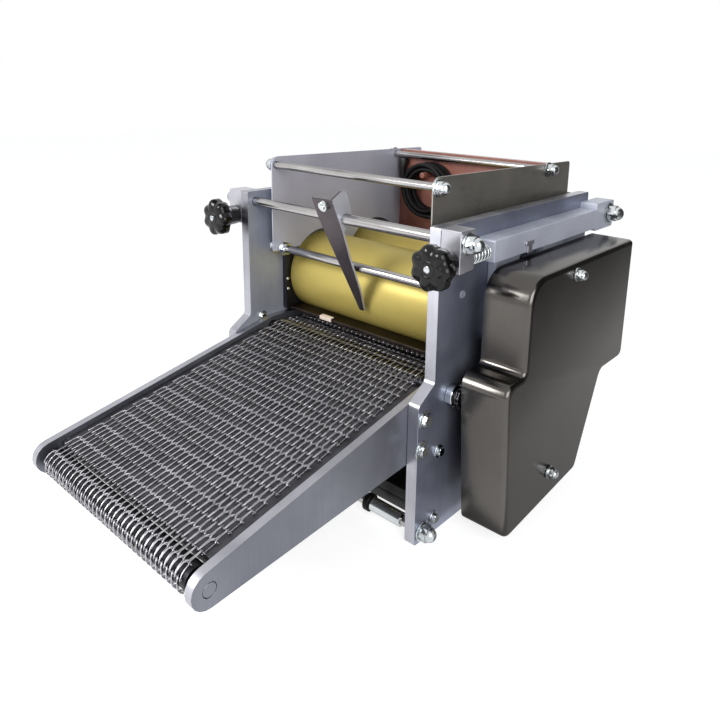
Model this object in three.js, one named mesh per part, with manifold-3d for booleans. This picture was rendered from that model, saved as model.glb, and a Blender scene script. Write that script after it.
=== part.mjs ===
// Motor driven table-top tortilla machine: two yellow covered rollers between
// machined side plates, a woven wire outfeed belt in front and a chain guard on the right.
// Millimetres. +X is the guard side, -Y the outfeed, +Z up; Y = 0 is the plates' front edge.
import * as THREE from 'three';
import { mergeGeometries, mergeVertices } from 'three/addons/utils/BufferGeometryUtils.js';
import Module from 'manifold-3d';

const wasm = await Module();
wasm.setup();

// Clearances
const seat = 0.3;
const runningFit = 0.3;

// Side plates
const innerWidth = 320;
const plateThickness = 15;
const plateHeight = 380;
const plateDepth = 372;
const toeReach = 29;
const plateCorner = 3;
const halfInner = innerWidth / 2;
const plateOuter = halfInner + plateThickness;

// Rollers and their gears
const drumDiameter = plateHeight * 119 / 380;
const nipGap = 1;
const frontAxisY = plateDepth * 127 / 372;
const rollerAxisZ = plateHeight * 0.65;
const rollerShaftDiameter = 30;
const gearTeeth = 24;
const gearWidth = 12;
const pressureAngle = THREE.MathUtils.degToRad(20);
const gearBacklash = 0.7;
const nipTravel = 3;
const drumRadius = drumDiameter / 2;
const rollerShaftRadius = rollerShaftDiameter / 2;
const axisSpacing = drumDiameter + nipGap;
const rearAxisY = frontAxisY + axisSpacing;
const toeHeight = rollerAxisZ - 68;
const toeBendHeight = rollerAxisZ - 49;

// Black bearing blocks inside the plates
const bearingBlockThickness = 8.5;
const bearingBlockFront = 65;
const bearingBlockBack = axisSpacing / 2 - 3;
const bearingBlockTop = rollerAxisZ + 43;
const bearingBlockBottom = rollerAxisZ - 55;
const drumEndClearance = 2;
const bearingBlockInner = halfInner - seat - bearingBlockThickness;
const drumHalfLength = bearingBlockInner - drumEndClearance;

// Bearing arms outside the plates
const armThickness = 26;
const armTop = plateHeight - 21;
const armBottom = armTop - 27;
const armFront = frontAxisY - 57;
const armSplitY = frontAxisY + 79;
const armSplitLean = 22;
const armSplitGap = 1.2;
const lugThickness = 11.7;
const lugHalfWidth = 28;
const armInner = plateOuter + seat;
const armOuter = armInner + armThickness;
const rearBlockFront = plateDepth - 26;
const rearBlockBack = plateDepth + 33;
const rearBlockBottom = armBottom - 4;
const rearBlockTop = armTop + 9;

// Front adjuster blocks, screws, springs and star knobs
const frontBlockDepth = 28;
const frontBlockBottom = armBottom;
const screwDiameter = 12;
const screwZ = armBottom + 12;
const screwDepthInArm = 40;
const springWire = 2.6;
const springMeanRadius = 9;
const springTurns = 6;
const knobRadius = 23.5;
const knobLobeHeight = 3;
const knobLobes = 7;
const knobDepth = 22;
const knobHubRadius = 11;
const knobHubLength = 20;
const screwX = armInner + armThickness / 2;

// Tie rods
const heavyRodDiameter = 12;
const lightRodDiameter = 10;
const bladeRodY = 14;
const bladeRodZ = plateHeight - 15;
const guardRodY = frontAxisY - 79;
const guardRodZ = rollerAxisZ + 47;
const rearRodY = plateDepth + 16;
const rearRodZ = plateHeight - 30;
const rearRodDiameter = 14;
const baseRodFrontY = -15;
const baseRodRearY = plateDepth - 20;
const baseRodZ = 14;

// Hopper
const hopperHalfWidth = halfInner - 20;
const sheet = 2;
const hopperFront = 28;
const hopperBack = plateDepth - 2;
const hopperTopFront = plateHeight + 49;
const hopperTopBack = hopperTopFront - 6;
const hopperBottom = rollerAxisZ + 45;
const hopperCusp = rollerAxisZ + 8;
const scallopClearance = 6;
const hopperPanelY = rearAxisY + drumRadius + 5.5;
const hopperPanelBottom = rollerAxisZ + 15;
const hopperFrontRodY = hopperFront + 8;
const hopperFrontRodZ = hopperTopFront - 12;
const hopperRearRodY = hopperPanelY - 12;
const hopperRearRodZ = hopperTopBack - 7;

// Conveyor
const noseY = -298;
const noseZ = 103;
const noseRollerRadius = 13;
const driveY = 33;
const driveZ = rollerAxisZ - 73;
const driveRadius = 10;
const tailY = frontAxisY - 43;
const tailZ = rollerAxisZ - 79;
const tailRollerRadius = 12;
const beltThickness = 4;
const beltSideGap = 8.5;
const beltRows = 16;
const beltSlots = 12;
const railLip = 2;
const railThickness = 10.2;
const railBottomAtPlate = driveZ - 73;
const railRearY = tailY + 20;
const railRearTop = rollerAxisZ - 57;
const nosePinRadius = 7;
const tailPinRadius = 6;
const bedThickness = 3;
const bedCorner = 8;
const railOuter = halfInner - seat;
const railInner = railOuter - railThickness;
const beltHalfWidth = railInner - beltSideGap;

// Chain drive on the right
const gearStart = 203;
const mainChainX = 224;
const mainPitch = 9.525;
const rearSprocketTeeth = 32;
const motorSprocketTeeth = 16;
const mainChainHalfHeight = 4;
const mainChainHalfWidth = 4;
const beltChainX = 191;
const beltPitch = 6.35;
const motorBeltTeeth = 24;
const driveSprocketTeeth = 10;
const beltChainHalfHeight = 3;
const beltChainHalfWidth = 2.5;
const toothClearance = 0.5;
const motorY = frontAxisY + 43;
const motorZ = plateHeight * 75 / 380;
const motorShaftRadius = 8;

// Chain guard
const guardInner = 200;
const guardOuter = 260;
const guardSheet = 2;
const guardTop = armBottom - 6;
const guardOutline = [
  [driveY - 2, motorZ - 60, 8],
  [motorY + 43, motorZ - 46, 10],
  [rearAxisY + 23, rollerAxisZ - 94, 14],
  [rearAxisY + 95, rollerAxisZ - 94, 12],
  [rearAxisY + 97, guardTop, 4],
  [frontAxisY - 72, guardTop, 30],
  [frontAxisY - 72, driveZ + 40, 8],
  [driveY - 17.5, driveZ + 39, 9],
];
const studDiameter = 8;
const upperStud = { y: frontAxisY + 37, z: guardTop - 14 };
const lowerStud = { y: motorY - 39, z: motorZ - 13 };

// Cutter, scraper and dough divider
const cutterRadius = 32;
const cutterAngle = THREE.MathUtils.degToRad(-65);
const cutterGap = 0.5;
const cutterPinRadius = 6;
const scraperFront = frontAxisY - 61;
const scraperZ = rollerAxisZ - 48;
const scraperThickness = 5;
const dividerX = -1.25;
const dividerWidth = 36.5;
const dividerSheet = 3;
const dividerTopReach = 26;
const dividerTipX = 2.8;
const dividerTipWidth = 8.5;
const dividerTipZ = rollerAxisZ - 17;
const dividerTipGap = 1.3;

// Gearmotor
const gearboxSide = 90;
const gearboxLength = 58;
const shaftSeatDepth = 20;
const motorRadius = 43;
const motorLength = 128;
const motorFins = 4;

// Rear panel, switch and mains lead
const rearPanelY = plateDepth - 31;
const rearPanelBottom = 22;
const rearPanelTop = rollerAxisZ + 39;
const rearPanelFlange = 14;
const bottomPanFront = 8;
const bottomPanLip = 14;
const switchX = -105;
const switchZ = 170;
const switchWidth = 26;
const switchHeight = 20;
const cordDiameter = 7;
const coilX = 72 - hopperHalfWidth;
const coilZ = hopperTopBack - 59;
const coilOuterRadius = 43.7;
const coilInnerRadius = 32.2;
const coilLayers = 4;
const coilTurnsPerLayer = 1.5;
const coilLayerStep = 7.5;
const glandX = 13 - hopperHalfWidth;
const glandZ = hopperTopBack - 20;
const glandReliefLength = 24;
const plugLength = 40;
const plugRadius = 12;
const plugStart = coilX + 62;

// Finishes: colour, roughness, metalness
const finishes = {
  brushedAluminium: ['#b9bcc4', 0.42, 0.9],
  polishedStainless: ['#8d8880', 0.2, 1.0],
  hopperStainless: ['#9d9fa4', 0.3, 0.9],
  zincSteel: ['#c9ccce', 0.28, 0.95],
  wireSteel: ['#8f8e8b', 0.4, 0.85],
  bladeSteel: ['#857d82', 0.4, 0.85],
  yellowCover: ['#d8c75c', 0.45, 0.0],
  blackPlastic: ['#17171a', 0.35, 0.0],
  gearSteel: ['#6a6a6c', 0.45, 0.8],
  motorPaint: ['#4b5157', 0.55, 0.3],
  cutterNylon: ['#e2d2c8', 0.5, 0.0],
};

// Solids
function cleanGeometry(geometry) {
  const bare = new THREE.BufferGeometry();
  bare.setAttribute('position', geometry.attributes.position);
  bare.setIndex(geometry.index);
  return mergeVertices(bare, 1e-4);
}

function toSolid(geometry) {
  const merged = cleanGeometry(geometry);
  const position = merged.attributes.position;
  const source = merged.index.array;
  const kept = [];
  let volume = 0;
  const [a, b, c] = [new THREE.Vector3(), new THREE.Vector3(), new THREE.Vector3()];
  for (let i = 0; i < source.length; i += 3) {
    const [p, q, r] = [source[i], source[i + 1], source[i + 2]];
    if (p === q || q === r || r === p) continue;
    kept.push(p, q, r);
    a.fromBufferAttribute(position, p);
    b.fromBufferAttribute(position, q);
    c.fromBufferAttribute(position, r);
    volume += a.dot(b.cross(c));
  }
  if (volume < 0) kept.reverse();
  const mesh = new wasm.Mesh({
    numProp: 3,
    vertProperties: new Float32Array(position.array),
    triVerts: new Uint32Array(kept),
  });
  return new wasm.Manifold(mesh);
}

function toGeometry(solid) {
  const mesh = solid.getMesh();
  const geometry = new THREE.BufferGeometry();
  geometry.setAttribute('position', new THREE.BufferAttribute(mesh.vertProperties, 3));
  geometry.setIndex(new THREE.BufferAttribute(mesh.triVerts, 1));
  geometry.computeVertexNormals();
  return geometry;
}

const join = (first, ...others) => others.reduce((whole, part) => whole.add(part), first);
const cut = (first, ...others) => others.reduce((whole, part) => whole.subtract(part), first);

// A shape drawn in (y, z) and carried along X
function alongX(shape, x0, x1) {
  const geometry = new THREE.ExtrudeGeometry(shape, { depth: x1 - x0, bevelEnabled: false });
  const axes = new THREE.Matrix4().makeBasis(
    new THREE.Vector3(0, 1, 0), new THREE.Vector3(0, 0, 1), new THREE.Vector3(1, 0, 0));
  geometry.applyMatrix4(axes).translate(x0, 0, 0);
  return toSolid(geometry);
}

// A box between two corners
function block([x0, y0, z0], [x1, y1, z1]) {
  const geometry = new THREE.BoxGeometry(x1 - x0, y1 - y0, z1 - z0);
  geometry.translate((x0 + x1) / 2, (y0 + y1) / 2, (z0 + z1) / 2);
  return toSolid(geometry);
}

// A turned solid: profile of [along, radius] pairs, closed onto its axis at both ends
function turnedGeometry(profile, sides) {
  const points = profile.map(([along, radius]) => new THREE.Vector2(radius, along));
  points.unshift(new THREE.Vector2(0, profile[0][0]));
  points.push(new THREE.Vector2(0, profile[profile.length - 1][0]));
  return new THREE.LatheGeometry(points, sides);
}

function turnedX(profile, y, z, sides = 20) {
  return toSolid(turnedGeometry(profile, sides).rotateZ(-Math.PI / 2).translate(0, y, z));
}

function turnedY(profile, x, z, sides = 20) {
  return toSolid(turnedGeometry(profile, sides).translate(x, 0, z));
}

function turnedZ(profile, x, y, sides = 20) {
  return toSolid(turnedGeometry(profile, sides).rotateX(Math.PI / 2).translate(x, y, 0));
}

const rodX = (x0, x1, radius, y, z, sides) => turnedX([[x0, radius], [x1, radius]], y, z, sides);
const rodY = (y0, y1, radius, x, z, sides) => turnedY([[y0, radius], [y1, radius]], x, z, sides);

// Degrees of one straight step of an arc: finer where the radius is larger
function arcStep(radius) {
  if (radius < 11) return THREE.MathUtils.degToRad(radius < 4 ? 45 : 30);
  return THREE.MathUtils.degToRad(radius < 30 ? 20 : 12);
}

function addArc(path, u, v, radius, from, to) {
  const steps = Math.max(1, Math.round(Math.abs(to - from) / arcStep(radius)));
  for (let i = 0; i <= steps; i += 1) {
    const angle = THREE.MathUtils.lerp(from, to, i / steps);
    const [pu, pv] = [u + radius * Math.cos(angle), v + radius * Math.sin(angle)];
    if (i === 0 && path.curves.length === 0) path.moveTo(pu, pv);
    else path.lineTo(pu, pv);
  }
  return path;
}

// An outline of [u, v, radius] corners, counterclockwise, with round corners.
// inset moves every edge inwards by the same distance, as a sheet's inner face.
function outline(corners, inset = 0) {
  const shape = new THREE.Shape();
  const count = corners.length;
  corners.forEach(([u, v, radius], i) => {
    const before = corners[(i + count - 1) % count];
    const after = corners[(i + 1) % count];
    const into = new THREE.Vector2(u - before[0], v - before[1]).normalize();
    const out = new THREE.Vector2(after[0] - u, after[1] - v).normalize();
    const turn = into.cross(out);
    const cosine = into.dot(out);
    const shift = inset / (1 + cosine);
    const corner = new THREE.Vector2(u - (into.y + out.y) * shift, v + (into.x + out.x) * shift);
    const bend = turn > 0 ? Math.max(radius - inset, 0) : radius + inset;
    if (bend < 0.05) {
      if (i === 0) shape.moveTo(corner.x, corner.y);
      else shape.lineTo(corner.x, corner.y);
      return;
    }
    const side = Math.sign(turn);
    const reach = bend * Math.sqrt((1 - cosine) / (1 + cosine));
    const start = corner.clone().addScaledVector(into, -reach);
    const end = corner.clone().addScaledVector(out, reach);
    const centre = new THREE.Vector2(start.x - into.y * side * bend, start.y + into.x * side * bend);
    const from = Math.atan2(start.y - centre.y, start.x - centre.x);
    const sweep = side * Math.acos(THREE.MathUtils.clamp(cosine, -1, 1));
    addArc(shape, centre.x, centre.y, bend, from, from + sweep);
  });
  shape.closePath();
  return shape;
}

// A hole whose straight steps touch the circle from outside, so that its full radius is free
function roundHole(u, v, radius) {
  const free = radius / Math.cos(arcStep(radius) / 2);
  const path = addArc(new THREE.Path(), u, v, free, 2 * Math.PI, 0);
  path.curves.pop();
  path.closePath();
  return path;
}

function slotHole(u, v, radius, travel) {
  const path = new THREE.Path();
  const free = radius / Math.cos(arcStep(radius) / 2);
  addArc(path, u, v, free, Math.PI / 2, -Math.PI / 2);
  addArc(path, u - travel, v, free, -Math.PI / 2, -3 * Math.PI / 2);
  path.closePath();
  return path;
}

// Assembly
const machine = new THREE.Group();

function place(name, solid, finish) {
  const [color, roughness, metalness] = finishes[finish];
  const material = new THREE.MeshStandardMaterial({ color, roughness, metalness });
  const mesh = new THREE.Mesh(toGeometry(solid), material);
  mesh.name = name;
  machine.add(mesh);
}

const sides = [['left', -1], ['right', 1]];

// The same solid for either side: built on the right, and mirrored for the left
function mirrored(solid, side) {
  return side > 0 ? solid : solid.mirror([1, 0, 0]);
}

// Side plates: one machined profile, with the bores that their own side needs
function sidePlate(side) {
  const shape = outline([
    [-toeReach, 0, plateCorner],
    [plateDepth, 0, plateCorner],
    [plateDepth, plateHeight, plateCorner],
    [0, plateHeight, plateCorner],
    [0, toeBendHeight, 6],
    [-toeReach, toeHeight, 6],
  ]);
  const holes = [
    roundHole(bladeRodY, bladeRodZ, heavyRodDiameter / 2 + seat),
    roundHole(guardRodY, guardRodZ, lightRodDiameter / 2 + seat),
    roundHole(baseRodFrontY, baseRodZ, heavyRodDiameter / 2 + seat),
    roundHole(baseRodRearY, baseRodZ, heavyRodDiameter / 2 + seat),
    slotHole(frontAxisY, rollerAxisZ, rollerShaftRadius + runningFit, nipTravel),
    roundHole(rearAxisY, rollerAxisZ, rollerShaftRadius + runningFit),
    roundHole(driveY, driveZ, driveRadius + runningFit),
    roundHole(cutterY, cutterZ, cutterPinRadius + runningFit),
  ];
  if (side > 0) {
    holes.push(
      roundHole(motorY, motorZ, motorShaftRadius + runningFit),
      roundHole(upperStud.y, upperStud.z, studDiameter / 2 + seat),
      roundHole(lowerStud.y, lowerStud.z, studDiameter / 2 + seat));
  }
  shape.holes.push(...holes);
  return mirrored(alongX(shape, halfInner, plateOuter), side);
}

const cutterReach = drumRadius + cutterRadius + cutterGap;
const cutterY = frontAxisY - cutterReach * Math.cos(cutterAngle) * -1;
const cutterZ = rollerAxisZ + cutterReach * Math.sin(cutterAngle);

for (const [label, side] of sides) {
  place(`side_plate_${label}`, sidePlate(side), 'brushedAluminium');
}

// Tie rods: bar, washer, hexagon and domed cap nut at each end, drawn up as one
const washerThickness = 2;

function capNut(x, y, z, rodDiameter, direction) {
  const radius = rodDiameter * 0.92;
  const height = rodDiameter * 0.75;
  const domeRadius = rodDiameter * 0.72;
  const washer = [[0, rodDiameter * 1.05], [washerThickness, rodDiameter * 1.05]];
  const start = washerThickness;
  const dome = [0, 0.45, 0.82].map((t) => {
    const angle = t * Math.PI / 2;
    return [start + height + domeRadius * Math.sin(angle), domeRadius * Math.cos(angle)];
  });
  const parts = [
    turnedX(washer, 0, 0, 14),
    turnedX([[start - 0.5, radius], [start + height, radius]], 0, 0, 6),
    turnedX([[start, domeRadius], ...dome], 0, 0, 10),
  ];
  const nut = join(...parts);
  const turned = direction > 0 ? nut : nut.mirror([1, 0, 0]);
  return turned.translate([x, y, z]);
}

function tieRod(halfLength, y, z, diameter) {
  return join(
    rodX(-halfLength - 3, halfLength + 3, diameter / 2, y, z, 12),
    capNut(halfLength + seat, y, z, diameter, 1),
    capNut(-halfLength - seat, y, z, diameter, -1));
}

place('blade_rod', tieRod(armOuter, bladeRodY, bladeRodZ, heavyRodDiameter), 'zincSteel');
place('base_rod_front', tieRod(plateOuter, baseRodFrontY, baseRodZ, heavyRodDiameter), 'zincSteel');
place('base_rod_rear', tieRod(plateOuter, baseRodRearY, baseRodZ, heavyRodDiameter), 'zincSteel');
place('rear_tie_rod', tieRod(armOuter, rearRodY, rearRodZ, rearRodDiameter), 'zincSteel');

const hopperOuter = hopperHalfWidth + sheet;
for (const [name, y, z] of [
  ['hopper_rod_front', hopperFrontRodY, hopperFrontRodZ],
  ['hopper_rod_rear', hopperRearRodY, hopperRearRodZ],
]) {
  place(name, tieRod(hopperOuter, y, z, lightRodDiameter), 'zincSteel');
}

// Guard rod: threaded into both plates, with a nut and washer against each inner face
const guardNutRadius = 9;
const guardNutLength = 7;
const guardWasherRadius = 10.5;
function guardRodEnd(side) {
  const face = halfInner - seat;
  const nut = join(
    turnedX([[face - guardNutLength, guardNutRadius], [face - 1, guardNutRadius]], 0, 0, 6),
    rodX(face - washerThickness, face, guardWasherRadius, 0, 0));
  return mirrored(nut, side).translate([0, guardRodY, guardRodZ]);
}
place('guard_rod', join(
  rodX(-plateOuter + 1, plateOuter - 1, lightRodDiameter / 2, guardRodY, guardRodZ),
  guardRodEnd(1),
  guardRodEnd(-1)), 'zincSteel');

// Front adjuster blocks: the blade rod crosses them and the adjuster screw runs through them
for (const [label, side] of sides) {
  const body = alongX(outline([
    [0, frontBlockBottom, 2],
    [frontBlockDepth, frontBlockBottom + 2, 2],
    [frontBlockDepth, plateHeight, 1],
    [0, plateHeight, 1],
  ]), armInner, armOuter);
  const drilled = cut(body,
    rodX(armInner - 1, armOuter + 1, heavyRodDiameter / 2 + seat, bladeRodY, bladeRodZ),
    rodY(-1, frontBlockDepth + 1, screwDiameter / 2 + runningFit, screwX, screwZ));
  place(`adjuster_block_${label}`, mirrored(drilled, side), 'brushedAluminium');
}

// Bearing arms: a bar along the plate's top with a lug down to the roller shaft.
// The sliding front arm and the fixed rear arm part on a slant.
function bearingLug(axisY) {
  const shape = outline([
    [axisY - lugHalfWidth, rollerAxisZ - lugHalfWidth, 14],
    [axisY + lugHalfWidth, rollerAxisZ - lugHalfWidth, 14],
    [axisY + lugHalfWidth, armBottom + 4, 0],
    [axisY - lugHalfWidth, armBottom + 4, 0],
  ]);
  shape.holes.push(roundHole(axisY, rollerAxisZ, rollerShaftRadius + runningFit));
  return alongX(shape, armInner, armInner + lugThickness);
}

for (const [label, side] of sides) {
  const frontBar = alongX(outline([
    [armFront, armBottom, 2],
    [armSplitY, armBottom, 0],
    [armSplitY + armSplitLean, armTop, 0],
    [armFront, armTop, 2],
  ]), armInner, armOuter);
  const bore = rodY(armFront - 1, armFront + screwDepthInArm + 6,
    screwDiameter / 2 + runningFit, screwX, screwZ);
  const frontArm = cut(join(frontBar, bearingLug(frontAxisY)), bore);
  place(`front_arm_${label}`, mirrored(frontArm, side), 'brushedAluminium');

  const rearBar = alongX(outline([
    [armSplitY + armSplitGap, armBottom, 0],
    [rearBlockFront, armBottom, 0],
    [rearBlockFront, rearBlockBottom, 0],
    [rearBlockBack, rearBlockBottom, 4],
    [rearBlockBack, rearBlockTop, 4],
    [rearBlockFront, rearBlockTop, 2],
    [rearBlockFront, armTop, 0],
    [armSplitY + armSplitLean + armSplitGap, armTop, 0],
  ]), armInner, armOuter);
  const rearArm = cut(join(rearBar, bearingLug(rearAxisY)),
    rodX(armInner - 1, armOuter + 1, rearRodDiameter / 2 + seat, rearRodY, rearRodZ));
  place(`rear_arm_${label}`, mirrored(rearArm, side), 'brushedAluminium');
}

// Bearing blocks: black, on the plates' inner faces, round each roller shaft
function bearingBlock(axisY, front, back) {
  const shape = outline([
    [axisY - front, bearingBlockBottom, 6],
    [axisY + back, bearingBlockBottom, 6],
    [axisY + back, bearingBlockTop, 6],
    [axisY - front, bearingBlockTop, 6],
  ]);
  shape.holes.push(roundHole(axisY, rollerAxisZ, rollerShaftRadius + runningFit));
  return alongX(shape, bearingBlockInner, bearingBlockInner + bearingBlockThickness);
}

for (const [label, side] of sides) {
  const front = bearingBlock(frontAxisY, bearingBlockFront, bearingBlockBack);
  const rear = bearingBlock(rearAxisY, bearingBlockBack, bearingBlockFront);
  place(`front_bearing_${label}`, mirrored(front, side), 'blackPlastic');
  place(`rear_bearing_${label}`, mirrored(rear, side), 'blackPlastic');
}

// Adjuster screws, springs and star knobs
const screwTip = armFront + screwDepthInArm;
const knobBore = 14;
const springStart = frontBlockDepth + seat + springWire / 2;
const springEnd = armFront - seat - springWire / 2;

class Helix extends THREE.Curve {
  getPoint(t, target = new THREE.Vector3()) {
    const angle = 2 * Math.PI * springTurns * t;
    return target.set(
      screwX + springMeanRadius * Math.cos(angle),
      THREE.MathUtils.lerp(springStart, springEnd, t),
      screwZ + springMeanRadius * Math.sin(angle));
  }
}

// A round tube of few sides through every point of a list, closed at both ends
function tubeGeometry(points, radius, tubeSides) {
  const positions = [];
  const indices = [];
  const last = points.length - 1;
  const tangent = (i) => points[Math.min(i + 1, last)].clone()
    .sub(points[Math.max(i - 1, 0)]).normalize();
  let across = new THREE.Vector3(0.31, 0.87, 0.38).cross(tangent(0)).normalize();
  points.forEach((point, i) => {
    const along = tangent(i);
    across = across.clone().addScaledVector(along, -across.dot(along)).normalize();
    const up = along.clone().cross(across);
    for (let k = 0; k < tubeSides; k += 1) {
      const angle = 2 * Math.PI * k / tubeSides;
      const ring = point.clone()
        .addScaledVector(across, radius * Math.cos(angle))
        .addScaledVector(up, radius * Math.sin(angle));
      positions.push(ring.x, ring.y, ring.z);
    }
    if (i === 0) return;
    for (let k = 0; k < tubeSides; k += 1) {
      const next = (k + 1) % tubeSides;
      const [a, b] = [(i - 1) * tubeSides + k, (i - 1) * tubeSides + next];
      const [c, d] = [i * tubeSides + next, i * tubeSides + k];
      indices.push(a, b, c, a, c, d);
    }
  });
  for (let k = 1; k < tubeSides - 1; k += 1) {
    const base = last * tubeSides;
    indices.push(0, k + 1, k, base, base + k, base + k + 1);
  }
  const geometry = new THREE.BufferGeometry();
  geometry.setAttribute('position', new THREE.Float32BufferAttribute(positions, 3));
  geometry.setIndex(indices);
  return geometry;
}

const springPoints = new Helix().getPoints(springTurns * 8);
const springSolid = toSolid(tubeGeometry(springPoints, springWire / 2, 5));

// Least distance between parts of a wound tube that lie more than half a turn apart
function leastGap(points, diameter, stepsPerTurn) {
  let least = Infinity;
  for (let i = 0; i < points.length; i += 1) {
    for (let j = i + Math.floor(stepsPerTurn / 2); j < points.length; j += 1) {
      least = Math.min(least, points[i].distanceTo(points[j]) - diameter);
    }
  }
  return least;
}
console.log(`spring least gap ${leastGap(springPoints, springWire, 8).toFixed(2)} mm`);

function starOutline() {
  const shape = new THREE.Shape();
  const steps = knobLobes * 6;
  for (let i = 0; i < steps; i += 1) {
    const angle = 2 * Math.PI * i / steps;
    const radius = knobRadius + knobLobeHeight * Math.cos(knobLobes * angle);
    const [x, z] = [radius * Math.cos(angle), radius * Math.sin(angle)];
    if (i === 0) shape.moveTo(x, z);
    else shape.lineTo(x, z);
  }
  shape.closePath();
  return shape;
}

function starKnob() {
  const bevel = 3;
  const star = new THREE.ExtrudeGeometry(starOutline(), {
    depth: knobDepth - 2 * bevel, bevelThickness: bevel, bevelSize: bevel,
    bevelOffset: -bevel, bevelSegments: 1,
  });
  star.rotateX(Math.PI / 2).translate(0, -knobHubLength - bevel, 0);
  const hub = turnedY([
    [-knobHubLength - 2, knobHubRadius + 3],
    [-knobHubLength + 4, knobHubRadius],
    [-seat, knobHubRadius],
  ], 0, 0, 18);
  const bore = rodY(-knobHubLength - knobBore, 1, screwDiameter / 2 + seat, 0, 0, 12);
  return cut(join(toSolid(star), hub), bore).translate([screwX, 0, screwZ]);
}

for (const [label, side] of sides) {
  const screw = rodY(-knobHubLength - knobBore + seat, screwTip, screwDiameter / 2, screwX, screwZ, 14);
  place(`star_knob_${label}`, mirrored(starKnob(), side), 'blackPlastic');
  place(`adjuster_screw_${label}`, mirrored(screw, side), 'zincSteel');
  place(`adjuster_spring_${label}`, mirrored(springSolid, side), 'zincSteel');
}

// Involute gear of the two rollers, cut at its width, with a bore
function gearOutline(phase) {
  const pitchRadius = axisSpacing / 2;
  const module = axisSpacing / gearTeeth;
  const baseRadius = pitchRadius * Math.cos(pressureAngle);
  const tipRadius = pitchRadius + module * 0.9;
  const rootRadius = pitchRadius - module * 1.15;
  const involute = (radius) => {
    if (radius <= baseRadius) return 0;
    const pressure = Math.acos(baseRadius / radius);
    return Math.tan(pressure) - pressure;
  };
  const halfTooth = Math.PI / (2 * gearTeeth) - gearBacklash / (2 * pitchRadius);
  const flank = [rootRadius, pitchRadius, tipRadius];
  const halfAngle = (radius) => halfTooth + involute(pitchRadius) - involute(radius);
  const shape = new THREE.Shape();
  for (let tooth = 0; tooth < gearTeeth; tooth += 1) {
    const middle = phase + 2 * Math.PI * tooth / gearTeeth;
    const rising = flank.map((radius) => [radius, middle - halfAngle(radius)]);
    const falling = flank.map((radius) => [radius, middle + halfAngle(radius)]).reverse();
    for (const [radius, angle] of [...rising, ...falling]) {
      const [y, z] = [radius * Math.cos(angle), radius * Math.sin(angle)];
      if (shape.curves.length === 0 && tooth === 0 && angle === rising[0][1]) shape.moveTo(y, z);
      else shape.lineTo(y, z);
    }
  }
  shape.closePath();
  return shape;
}

function rollerGear(axisY, phase) {
  const shape = gearOutline(phase);
  shape.holes.push(roundHole(0, 0, rollerShaftRadius + seat));
  return alongX(shape, gearStart, gearStart + gearWidth).translate([0, axisY, rollerAxisZ]);
}

// Rollers: covered drum, through shaft and gear
const shaftLeftEnd = armInner + lugThickness + 4;
const rearShaftEnd = mainChainX + mainChainHalfWidth + 2;
const frontShaftEnd = gearStart + gearWidth + 3;
const halfPitchAngle = Math.PI / gearTeeth;

function rollerDrum(axisY) {
  const body = turnedX([
    [-drumHalfLength, drumRadius - 1.5],
    [-drumHalfLength + 1.5, drumRadius],
    [drumHalfLength - 1.5, drumRadius],
    [drumHalfLength, drumRadius - 1.5],
  ], axisY, rollerAxisZ, 48);
  return cut(body, rodX(-drumHalfLength - 1, drumHalfLength + 1,
    rollerShaftRadius + seat, axisY, rollerAxisZ));
}

for (const [label, axisY, end, phase] of [
  ['front', frontAxisY, frontShaftEnd, 0],
  ['rear', rearAxisY, rearShaftEnd, halfPitchAngle],
]) {
  const shaft = turnedX([
    [-shaftLeftEnd, rollerShaftRadius - 2],
    [-shaftLeftEnd + 2, rollerShaftRadius],
    [end - 2, rollerShaftRadius],
    [end, rollerShaftRadius - 2],
  ], axisY, rollerAxisZ);
  place(`${label}_drum`, rollerDrum(axisY), 'yellowCover');
  place(`${label}_shaft`, shaft, 'zincSteel');
  place(`${label}_gear`, rollerGear(axisY, phase), 'gearSteel');
}

// Sprockets and roller chain loops
const pitchCircle = (teeth, pitch) => pitch / (2 * Math.sin(Math.PI / teeth));

function sprocket(teeth, pitch, chainHalfHeight, width, boreRadius) {
  const tip = pitchCircle(teeth, pitch) - chainHalfHeight - toothClearance;
  const depth = pitch * 0.22;
  const shape = new THREE.Shape();
  const steps = teeth * 3;
  for (let i = 0; i < steps; i += 1) {
    const angle = 2 * Math.PI * i / steps;
    const radius = i % 3 < 2 ? tip : tip - depth;
    const [y, z] = [radius * Math.cos(angle), radius * Math.sin(angle)];
    if (i === 0) shape.moveTo(y, z);
    else shape.lineTo(y, z);
  }
  shape.closePath();
  if (boreRadius) shape.holes.push(roundHole(0, 0, boreRadius));
  return alongX(shape, -width / 2, width / 2);
}

// Closed path round circles that are visited counterclockwise, every radius grown by offset
function wrapPath(circles, offset, path) {
  const count = circles.length;
  const leave = circles.map(([y, z, radius], i) => {
    const [nextY, nextZ, nextRadius] = circles[(i + 1) % count];
    const distance = Math.hypot(nextY - y, nextZ - z);
    const heading = Math.atan2(nextZ - z, nextY - y);
    return heading - Math.acos((radius - nextRadius) / distance);
  });
  circles.forEach(([y, z, radius], i) => {
    const from = leave[(i + count - 1) % count];
    const turn = (leave[i] - from + 4 * Math.PI) % (2 * Math.PI);
    addArc(path, y, z, radius + offset, from, from + turn);
  });
  path.closePath();
  return path;
}

function chainLoop(circles, halfHeight, halfWidth, x) {
  const shape = wrapPath(circles, halfHeight, new THREE.Shape());
  shape.holes.push(wrapPath(circles, -halfHeight, new THREE.Path()));
  return alongX(shape, x - halfWidth, x + halfWidth);
}

place('rear_sprocket',
  sprocket(rearSprocketTeeth, mainPitch, mainChainHalfHeight, 5, rollerShaftRadius + seat)
    .translate([mainChainX, rearAxisY, rollerAxisZ]), 'gearSteel');

place('main_chain', chainLoop([
  [motorY, motorZ, pitchCircle(motorSprocketTeeth, mainPitch)],
  [rearAxisY, rollerAxisZ, pitchCircle(rearSprocketTeeth, mainPitch)],
], mainChainHalfHeight, mainChainHalfWidth, mainChainX), 'gearSteel');

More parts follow.
